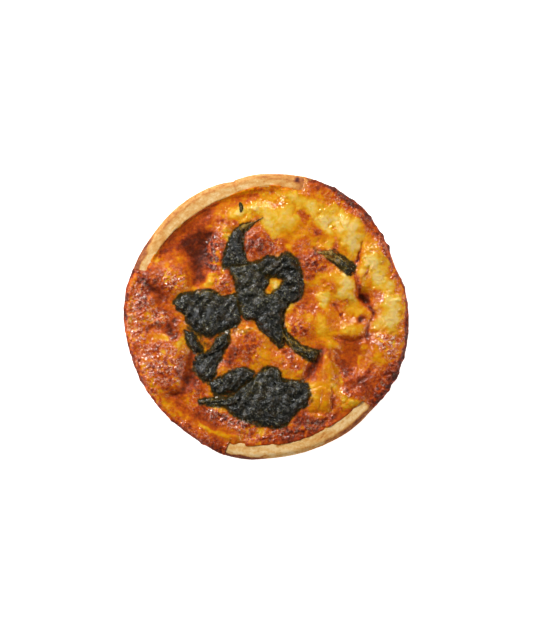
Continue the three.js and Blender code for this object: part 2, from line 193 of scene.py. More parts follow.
def wander(x, y, size, seed, octaves=1):
    """Value noise from -1 to 1: random corners of squares `size` wide, joined by S-curves. Each
    further octave is half as wide and half as strong."""
    total = np.zeros_like(x)
    strength = 1.0
    for octave in range(octaves):
        across, up = x * 2 ** octave / size, y * 2 ** octave / size
        column, row = np.floor(across), np.floor(up)
        right, above = smooth(across - column, 0, 1), smooth(up - row, 0, 1)
        lower = blend(hashed(column, row, seed + octave), hashed(column + 1, row, seed + octave), right)
        upper = blend(hashed(column, row + 1, seed + octave),
                      hashed(column + 1, row + 1, seed + octave), right)
        total += strength * (2 * blend(lower, upper, above) - 1)
        strength *= 0.5
    return total / (2 - 2 * strength)


def scattered(x, y, size, seed):
    """Distances, in sizes, to the two nearest of scattered points, one in each square."""
    across, up = x / size, y / size
    column, row = np.floor(across), np.floor(up)
    nearest = np.full_like(x, 9.0)
    second = np.full_like(x, 9.0)
    for right in (-1, 0, 1):
        for above in (-1, 0, 1):
            point_x = column + right + hashed(column + right, row + above, seed)
            point_y = row + above + hashed(column + right, row + above, seed + 1)
            away = np.hypot(point_x - across, point_y - up)
            second = np.minimum(second, np.maximum(nearest, away))
            nearest = np.minimum(nearest, away)
    return nearest, second


def blisters(x, y, size, seed):
    """Packed domes from 0 to 1, highest at each scattered point: 1 - (distance / 0.7)^2."""
    nearest, _ = scattered(x, y, size, seed)
    return np.clip(1 - (nearest / 0.7) ** 2, 0, 1)


def creased(x, y, size, seed):
    """Sharp valleys between flat cushions: 0 on the line between two points, rising to 1."""
    nearest, second = scattered(x, y, size, seed)
    return smooth(second - nearest, 0, 0.45)


# %% [markdown]
# ## Brush strokes
#
# Browning isn't random: one puff of custard is brown, the next one stays yellow. So it is
# painted, as a decorator would, with soft strokes over a base coat. A stroke is a path of one or
# more points, half a width and a value. The places that are painted are moved by a little noise
# first, so that no stroke has a smooth outline. Paths of the same kind press creases into the top.

# %% Painting along paths
STROKE_CORE, STROKE_END = 0.15, 1.45  # half-widths from the path where paint is full, and gone
BAND_FADE = 4  # degrees on each side of a band's ends over which it fades


def distance_to_path(x, y, path):
    """Distance from each point to the nearest straight stretch of the path, or to its one point."""
    nearest = np.full_like(x, np.inf)
    for (start_x, start_y), (end_x, end_y) in zip(path, path[1:] or path):
        run_x, run_y = end_x - start_x, end_y - start_y
        length_squared = max(run_x ** 2 + run_y ** 2, 1e-9)
        along = np.clip(((x - start_x) * run_x + (y - start_y) * run_y) / length_squared, 0, 1)
        away = np.hypot(x - start_x - along * run_x, y - start_y - along * run_y)
        nearest = np.minimum(nearest, away)
    return nearest


def paint(coat, x, y, strokes):
    """Each stroke pulls the coat to its value, fully on the path and not at all past its end."""
    for path, width, value in strokes:
        share = 1 - smooth(distance_to_path(x, y, path) / width, STROKE_CORE, STROKE_END)
        coat = blend(coat, value, share)
    return coat


def paint_band(coat, radius, direction, bands):
    """As `paint`, for bands round the middle: directions, radii and value, with soft borders."""
    for (start, end), (low, high), value, softness in bands:
        half = turn_between(start, end) % 360 / 2
        away = np.abs(turn_between(start + half, direction))
        round_share = 1 - smooth(away, half - BAND_FADE, half + BAND_FADE)
        out_share = smooth(radius, low - softness, low + softness)
        out_share = out_share * (1 - smooth(radius, high - softness, high + softness))
        coat = blend(coat, value, round_share * out_share)
    return coat


# %% [markdown]
# ## The form of the filling's top
#
# The filling is a height over each point of the plan. The large mounds and hollows repeat the
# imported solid's, as `rise * exp(-distance^3)`. Small lumps, creases, pits, wrinkles and blisters
# are added to them. The height is a function of its own, because the leaves lie on it as well.

# %% Mounds and hollows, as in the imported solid
# centre, two half-widths, turn of the first from +X, rise
MOUNDS_AND_HOLLOWS = [
    (-40, -20, 9.5, 11, 0, 2.3), (-37, 14, 7, 5, -20, 1.7), (-18.5, 13.5, 6, 4, 20, 1.4),
    (-19, 25, 6.5, 3, 80, 1.4), (-4.5, 28, 4.5, 6.5, 0, 1.3), (6, 38, 6.5, 5, 0, 1),
    (32, 33, 5.5, 7, -25, 1.4), (18.5, 20, 4.5, 4, 0, 1.4), (42, 21, 6, 7, -20, 1.2),
    (29, 13, 7.5, 5.5, -20, 1.9), (47, 2, 5, 9, 5, 1.7), (33, -5, 6, 4, 10, 1.5),
    (22, -3, 4.5, 5.5, 0, 1.2), (12, -3, 5.5, 5.5, 0, 1.5), (44, -14, 5, 6, 20, 1.1),
    (11, -19, 6.5, 5.5, -10, 1.9), (24, -20, 3, 7.5, 8, 1.7), (21, -31, 4.8, 6.5, 8, 1.8),
    (31, -32, 4, 4.5, -30, 1.2), (-7, -10.5, 8, 7, 0, 1.8), (1.5, -17, 4.5, 3.5, 0, 1.2),
    (-16.5, -20.5, 4, 3.5, 30, 1.1), (-27, 27, 9, 7.5, 30, -1.9), (-27.5, 14, 3, 6.5, 0, -1.2),
    (-29.5, -21, 2.2, 9, 0, -1.7), (-34, -33, 6, 2.4, -40, -1.3), (-22, -43.5, 9, 2, -28, -0.9),
    (38, 7.5, 2.8, 3.4, 20, -2.4), (33, -17, 6, 6.5, 0, -1.5), (18.5, -19, 6, 2, 65, -1.7),
    (16, 8, 3, 4.5, 0, -0.9),
]
print(f"{len(MOUNDS_AND_HOLLOWS)} mounds and hollows")

# %% Small lumps, creases and pits, which only the finished surface has
# centre, two half-widths, turn of the first from +X, rise
SMALL_LUMPS = [
    (14.5, 13, 1.6, 1.3, 0, 0.5), (-28.5, -28, 2.2, 1.8, 0, 0.9), (21.5, -39, 2.4, 1.6, 25, 0.7),
    (-18.3, -36.6, 2.6, 1.2, -35, 0.6), (-6, -41.5, 2.4, 1.4, -10, 0.6), (24, -11, 4.5, 1.5, -20, 0.7),
    (31, 25, 3, 3.2, 0, 0.6), (36.4, 17, 1.4, 3.4, 0, 0.8), (38.5, 25.5, 1.6, 3, 0, 0.5),
    (9, 3.5, 2.4, 2, 30, 0.6), (44, 24, 3, 4, -20, 0.5), (22, 8, 2, 3, 10, 0.5),
    (31.5, 7.5, 3, 2.2, 20, 0.5), (-33.5, -3.5, 2.6, 1.6, -50, 0.6), (-43, -1.5, 4, 2.2, 0, 0.5),
    (-48, 1, 3, 2.5, 0, 0.5), (-45.5, 6.5, 2.6, 2, 20, 0.6), (-17, 33, 3, 2.4, 0, 0.6),
    (22, 39, 4, 3, 20, 0.5), (13, -23, 2.6, 1.5, 10, 0.4), (-14, -8.5, 2.4, 2.4, 0, 0.5),
    (37, -11.5, 2, 3, 0, 0.6), (41, -15.5, 2, 3.2, -10, 0.5), (46, -9, 2.4, 3, 20, 0.5),
    (19, -30, 2, 3.5, 0, 0.4), (-4, 42, 4, 2, 0, 0.5), (3, -46, 4, 1.4, 5, 0.5),
    (14, -43.5, 4, 1.4, 15, 0.5), (-9, -44, 4, 1.2, -15, 0.5), (-36, 36, 1.4, 3, -45, 0.3),
]
# path, half a width, depth
CREASES = [
    ([(36.6, 27.5), (35.4, 24), (34.5, 20.8)], 0.7, 1.0),
    ([(34.3, 16), (35, 13), (36.3, 10.5), (37.5, 8.2)], 0.8, 0.9),
    ([(38, 6.8), (39.5, 4), (41.4, 0.8)], 0.9, 0.9), ([(39.4, 20.5), (39.3, 14.5)], 0.7, 0.5),
    ([(27.3, 36.6), (29, 34.4)], 0.35, 0.45), ([(26.2, 4.2), (27.6, 1.2), (29.4, -1.2)], 0.6, 0.7),
    ([(-47.5, 13.5), (-44, 10), (-40, 6.8)], 1.1, 0.8),
    ([(27.4, -31), (26, -33), (26.2, -35.4)], 0.9, 0.35),
    ([(42, -20.5), (38.5, -23.5), (35, -26), (31, -29)], 0.9, 0.35),
    ([(-29, -13.5), (-29.4, -22), (-31.5, -28), (-36, -31)], 1.1, 0.3),
    ([(-36.5, -31), (-30, -36), (-22, -41), (-14, -45.3)], 1.0, 0.4),
    ([(-19, -41.6), (-10, -45.2)], 0.7, 0.2), ([(-27, 20), (-26.6, 15), (-27, 12.5)], 1.4, 0.25),
    ([(-13.5, 18.5), (-11.5, 12), (-10.4, 8.5)], 0.8, 0.6), ([(-12, -6), (-14.5, -12)], 0.8, 0.5),
    ([(6.6, -14), (6.3, -19)], 0.7, 0.5), ([(28.2, -15), (29.6, -19), (29, -23)], 0.9, 0.25),
    ([(27, -8.5), (34, -9.5), (39.5, -8)], 0.8, 0.6), ([(41, 0.5), (40.2, -4), (39, -7)], 0.7, 0.6),
    ([(26.5, 26), (24, 28), (19, 28.5)], 0.9, 0.3), ([(-37.5, -7), (-42, -5.6), (-47, -5.4)], 0.8, 0.5),
    ([(-50, 13), (-51.5, 4), (-51.6, -6)], 0.8, 0.35),
    ([(-49.5, -13), (-46.5, -25), (-41, -32)], 0.7, 0.35),
    ([(15.6, -37), (22, -37.3), (25, -38.6)], 0.7, 0.5),
    ([(24.2, -14.4), (26.6, -19.6), (29, -25)], 0.5, 0.5),
    ([(25.6, -28.8), (25.4, -33), (24.6, -37)], 0.5, 0.55),
    ([(17, -28.6), (21, -27.4), (25.4, -28.6)], 0.45, 0.35), ([(21.6, -30), (20.4, -36)], 0.5, 0.3),
]
# place, half a width, depth
PITS = [
    (11, -19.5, 1.2, 0.7), (3.5, 43.8, 0.7, 0.5), (37, -1.5, 1.2, 0.7), (28.6, 28.6, 0.6, 0.3),
    (-7, -7.6, 1.1, 0.5), (12, 52.4, 0.7, 0.25),
]
print(f"{len(SMALL_LUMPS)} small lumps, {len(CREASES)} creases, {len(PITS)} pits")

# %% The top before its skin
def domes(x, y, shapes):
    """Sum of rise * exp(-distance^3), the distance counted in half-widths along and across."""
    total = np.zeros_like(x)
    for middle_x, middle_y, half_one, half_other, turn, rise in shapes:
        cos, sin = math.cos(math.radians(turn)), math.sin(math.radians(turn))
        along = ((x - middle_x) * cos + (y - middle_y) * sin) / half_one
        across = ((y - middle_y) * cos - (x - middle_x) * sin) / half_other
        total += rise * np.exp(-np.hypot(along, across) ** 3)
    return total


def plain_top(x, y):
    """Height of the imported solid's top: its level, blended towards the edge's, plus the mounds."""
    radius, direction = np.hypot(x, y), direction_of(x, y)
    level = edge_level(direction)
    height = CASE_HEIGHT + blend(MIDDLE_RISE, level, smooth(radius, *EDGE_BLEND))
    height += domes(x, y, MOUNDS_AND_HOLLOWS)
    near_case = radius > inner_radius(direction) - EDGE_BAND
    height = np.where(near_case, np.maximum(height, CASE_HEIGHT + level - LEAST_EDGE), height)
    return height - (CASE_HEIGHT - rim_top(radius, direction))


sample = np.array([-40.0, 38.0])
print("a mound and a hollow:", plain_top(sample, np.array([-20.0, 7.5])).round(1), "mm high")

# %% [markdown]
# ## Where the top is blistered, and how brown it is
#
# Three coats are painted. `blistered` says where the skin blistered, and where it stayed smooth
# and glassy. `wetness` says where fat stands on it. `doneness` runs from 0, pale set egg,
# through yellow, amber and orange to 1, nearly black, and it also carries painted shade in
# creases, pits, valleys and hollows. All are kept on the mesh as attributes that the finish reads.

# %% How blistered each place is
SMOOTH, SOME, FINE_BLISTERS, COARSE_BLISTERS = 0.06, 0.4, 1.0, 1.5
# path, half a width, blistering
BLISTER_STROKES = [
    ([(-27, 31), (-27, 22), (-27, 14)], 6, SMOOTH), ([(-36, 30), (-24, 41), (-10, 46)], 3, SMOOTH),
    ([(-38, 21.5), (-33, 22)], 3.4, 0), ([(-44, 18)], 2.5, SMOOTH), ([(-21.5, 35.5)], 2, SMOOTH),
    ([(2, 40), (8, 37)], 5, SMOOTH), ([(12, 44), (16, 45)], 3, 0.15), ([(31, 34), (33, 26)], 4.5, 0.2),
    ([(24, 30), (19, 29)], 3, 0.15), ([(16, 8), (17, 5)], 3, SMOOTH), ([(28, 15), (22, 16)], 4, 0.25),
    ([(34, 3), (36, -4)], 3.5, SMOOTH), ([(38, 7.5)], 3, SMOOTH), ([(36.5, 17)], 2, SMOOTH),
    ([(33, -16), (31, -12)], 5, SMOOTH), ([(38, -16)], 3, 0.15), ([(24, -16), (24.5, -22)], 2, 0.3),
    ([(21, -28), (21, -35)], 4, 0.15), ([(18.5, -18)], 2, SMOOTH), ([(13, -22)], 1.6, SMOOTH),
    ([(10.6, -20)], 1.8, COARSE_BLISTERS), ([(3.6, 12.6)], 2, 0.9), ([(-37, 14)], 4, 1.4),
    ([(-51, 12), (-52.5, 2), (-52, -8)], 1.8, 1.3),
    ([(-29.5, -14), (-30, -25), (-35, -31)], 2.4, SMOOTH),
    ([(-38, -31), (-31, -37), (-20, -44), (-12, -47.5)], 2.2, SMOOTH), ([(-24, -11)], 2.5, 0.2),
    ([(-14, -13)], 2, SMOOTH), ([(-44.5, 11), (-40, 7)], 1.8, SMOOTH),
    ([(-37, 13.5)], 5.5, FINE_BLISTERS), ([(-18, 13)], 5, FINE_BLISTERS),
    ([(-38, 13)], 3, COARSE_BLISTERS), ([(-20.5, 20), (-20.5, 28)], 2.8, COARSE_BLISTERS),
    ([(-17, 34)], 3.6, FINE_BLISTERS), ([(-4.5, 28)], 6, FINE_BLISTERS), ([(-5, 42)], 4, 0.6),
    ([(18.5, 20)], 5, FINE_BLISTERS), ([(3, 28)], 4, 1.2), ([(12.5, 26)], 2.4, 0.8),
    ([(22, 41), (19, 38)], 4, 0.6), ([(42, 22), (40, 27)], 4, 0.7), ([(44, 14)], 3, 0.7),
    ([(22, 12), (24, 10)], 2.4, 0.8), ([(12, -4)], 5.5, FINE_BLISTERS), ([(30, 7)], 3, 0.8),
    ([(46, -9), (48, -13)], 4, COARSE_BLISTERS), ([(-40, -19)], 10, FINE_BLISTERS),
    ([(-43, -1)], 5, 1.2), ([(-47, 6), (-50, 0)], 3, 1.3), ([(-7, -13)], 6, 0.7),
    ([(31, -32)], 4.5, FINE_BLISTERS), ([(31, -23)], 3.5, 0.9), ([(10, -18)], 4, 0.7),
    ([(-20, -38), (-6, -43)], 3, 1.3), ([(-6, -47), (10, -46), (24, -41)], 3, FINE_BLISTERS),
    ([(-24, -46), (-30, -42)], 2.4, 0.7), ([(15, -40)], 3, 0.9), ([(47, 11), (47, -2)], 5, 0.5),
    ([(22, 36), (29, 41)], 4, 0.55), ([(28, 10), (33, 13)], 4, 0.55), ([(-28, -28), (-26, -31)], 3, 1),
]
# directions, radii, blistering, softness of the inner and outer border
BLISTER_BANDS = [
    ((-42, 62), (50.5, 60), 0.9, 1.0), ((158, 196), (47, 60), 1.0, 1.5),
    ((196, 254), (51.5, 60), 0.9, 1.0),
]
BRUSH_WOBBLE = 1.5  # how far noise moves the borders of the strokes


def wobbled(x, y):
    """The plan position moved by up to BRUSH_WOBBLE each way by noise 4 mm wide and finer."""
    return (x + BRUSH_WOBBLE * wander(x, y, 4, 11, 3), y + BRUSH_WOBBLE * wander(x, y, 4, 21, 3))


def blistered(x, y):
    """Share of full blistering, from the strokes over a middling coat."""
    brush_x, brush_y = wobbled(x, y)
    coat = np.full_like(x, SOME) + 0.25 * wander(x, y, 7, 31)
    coat = paint(coat, brush_x, brush_y, BLISTER_STROKES)
    coat = paint_band(coat, np.hypot(brush_x, brush_y), direction_of(x, y), BLISTER_BANDS)
    return np.clip(coat, 0, COARSE_BLISTERS)


# %% Where the skin dried to a matt film
# path, half a width, share of wet gloss that is left
MATT_STROKES = [
    ([(-30, 31), (-27, 25), (-26, 15)], 8, 0), ([(-43, 27), (-34, 36), (-22, 42), (-8, 46.5)], 5, 0),
    ([(-38, 21.5), (-33, 22.5)], 4, 0.1), ([(17, 6)], 3, 0.2), ([(33, -16)], 5.5, 0.25),
    ([(-36, 25), (-31, 24)], 3, 0), ([(-26, 36), (-19, 39)], 4, 0.1), ([(41, -17), (38, -23)], 3, 0.3),
    ([(-29, -27), (-33, -31)], 3, 0.2), ([(-12, -7), (-6, -4)], 3, 0.4),
    ([(18, -26), (19, -20)], 3.6, 0.1), ([(-38, -31), (-31, -37), (-20, -44)], 2.6, 0.2),
    ([(-29.5, -15), (-30, -26), (-34, -31)], 2.6, 0.1), ([(38, 7)], 2.6, 0.2), ([(6, 39)], 4, 0.4),
    ([(30, 34), (34, 27)], 3, 0.5),
]
# places where fat stands on the skin, in the same terms
GLOSS_STROKES = [
    ([(-37, 14)], 6, 1), ([(-40, -17)], 11, 1), ([(-21, 22), (-20, 30)], 3.4, 1),
    ([(-50, 8), (-52, -8)], 4, 1), ([(-17, 33)], 4, 1), ([(-18, 13)], 5, 0.9),
    ([(-34, -3), (-44, 0)], 5, 1), ([(29, 14), (30, 6)], 4, 0.9), ([(34, 1), (40, -4)], 4, 0.9),
    ([(46, 10), (46, -12)], 6, 1), ([(42, 25), (42, 18)], 5, 0.9), ([(-12, -46), (-22, -38)], 4, 1),
    ([(30, -32)], 4, 1), ([(6, 44), (-6, 42)], 4, 0.9), ([(24, 40)], 4, 0.9), ([(12, -4)], 5, 0.4),
    ([(-4.5, 28)], 5, 0.5), ([(18, 20)], 4, 0.55), ([(0, -46), (24, -41)], 4, 0.6),
]
EVEN_GLOSS = 0.5
MATT_EDGE = (0.4, 3)  # the crust dries to matt from the second to the first distance from its edge
GAP_DULLING, BROWN_DULLING = 0.55, 0.7  # gloss lost in gaps between blisters, and on brown skin


def wetness(x, y, to_edge, rough, brown):
    """Share of wet gloss: even, painted wetter and drier in places, and less towards the crust's
    edge, in the gaps between blisters, and where the skin is brown but smooth."""
    coat = paint(np.full_like(x, EVEN_GLOSS), *wobbled(x, y), GLOSS_STROKES + MATT_STROKES)
    coat = coat * smooth(to_edge + 0.8 * wander(x, y, 3, 37, 2), *MATT_EDGE)
    gaps = 1 - smooth(skin_of_blisters(x, y), -0.14, 0.06)
    on_brown = 1 - BROWN_DULLING * smooth(brown, 0.4, 0.6) * (1 - rough)
    return coat * (1 - GAP_DULLING * rough * gaps) * on_brown


# %% The finished top's height
LUMP_SIZE, LUMP_HEIGHT = 5, 0.42
RIPPLE_SIZE, RIPPLE_HEIGHT = 2.2, 0.2
WRINKLE_SPACING, WRINKLE_DEPTH = 7, 0.14
BLISTER_SIZE, BLISTER_HEIGHT = 1.7, 0.36
SMALL_BLISTER_SIZE, SMALL_BLISTER_HEIGHT = 1.05, 0.13
BLISTER_DRIFT = 0.8  # how far noise moves the blisters, so that they aren't evenly spaced


def skin_of_blisters(x, y):
    """Heights of two sizes of blister, about 0, over plan positions that noise has moved."""
    x, y = (x + BLISTER_DRIFT * wander(x, y, 2, 53, 2), y + BLISTER_DRIFT * wander(x, y, 2, 57, 2))
    swollen = 0.75 + 0.6 * wander(x, y, 4, 59, 2)
    return (BLISTER_HEIGHT * swollen * (blisters(x, y, BLISTER_SIZE, 51) - 0.5)
            + SMALL_BLISTER_HEIGHT * (blisters(x, y, SMALL_BLISTER_SIZE, 61) - 0.5))


def wrinkles(x, y):
    """Thin winding valleys: -1 along the lines where noise changes sign, and 0 away from them."""
    return smooth(np.abs(wander(x, y, WRINKLE_SPACING, 73, 3)), 0, 0.16) - 1


def soft_lumps(x, y, rough):
    """Lumps of noise at two sizes, taller where `rough` is, and wrinkles."""
    lumps = LUMP_HEIGHT * wander(x, y, LUMP_SIZE, 41, 3) * (0.5 + rough)
    ripples = RIPPLE_HEIGHT * wander(x, y, RIPPLE_SIZE, 47, 2) * (0.6 + 0.6 * rough)
    return lumps + ripples + WRINKLE_DEPTH * wrinkles(x, y)


def fine_top(x, y, rough):
    """The plain top plus small lumps, minus creases and pits, plus blisters where `rough` is."""
    height = plain_top(x, y) + domes(x, y, SMALL_LUMPS)
    soft_x, soft_y = wobbled(x, y)
    for path, width, depth in CREASES:
        height -= depth * np.exp(-(distance_to_path(soft_x, soft_y, path) / width) ** 2)
    for pit_x, pit_y, width, depth in PITS:
        height -= depth * np.exp(-(np.hypot(x - pit_x, y - pit_y) / width) ** 2)
    return height + soft_lumps(x, y, rough) + rough * skin_of_blisters(x, y)


# %% How brown each place is, and where shade is painted
YELLOW, BROWN, DARK = 0.17, 0.82, 0.97
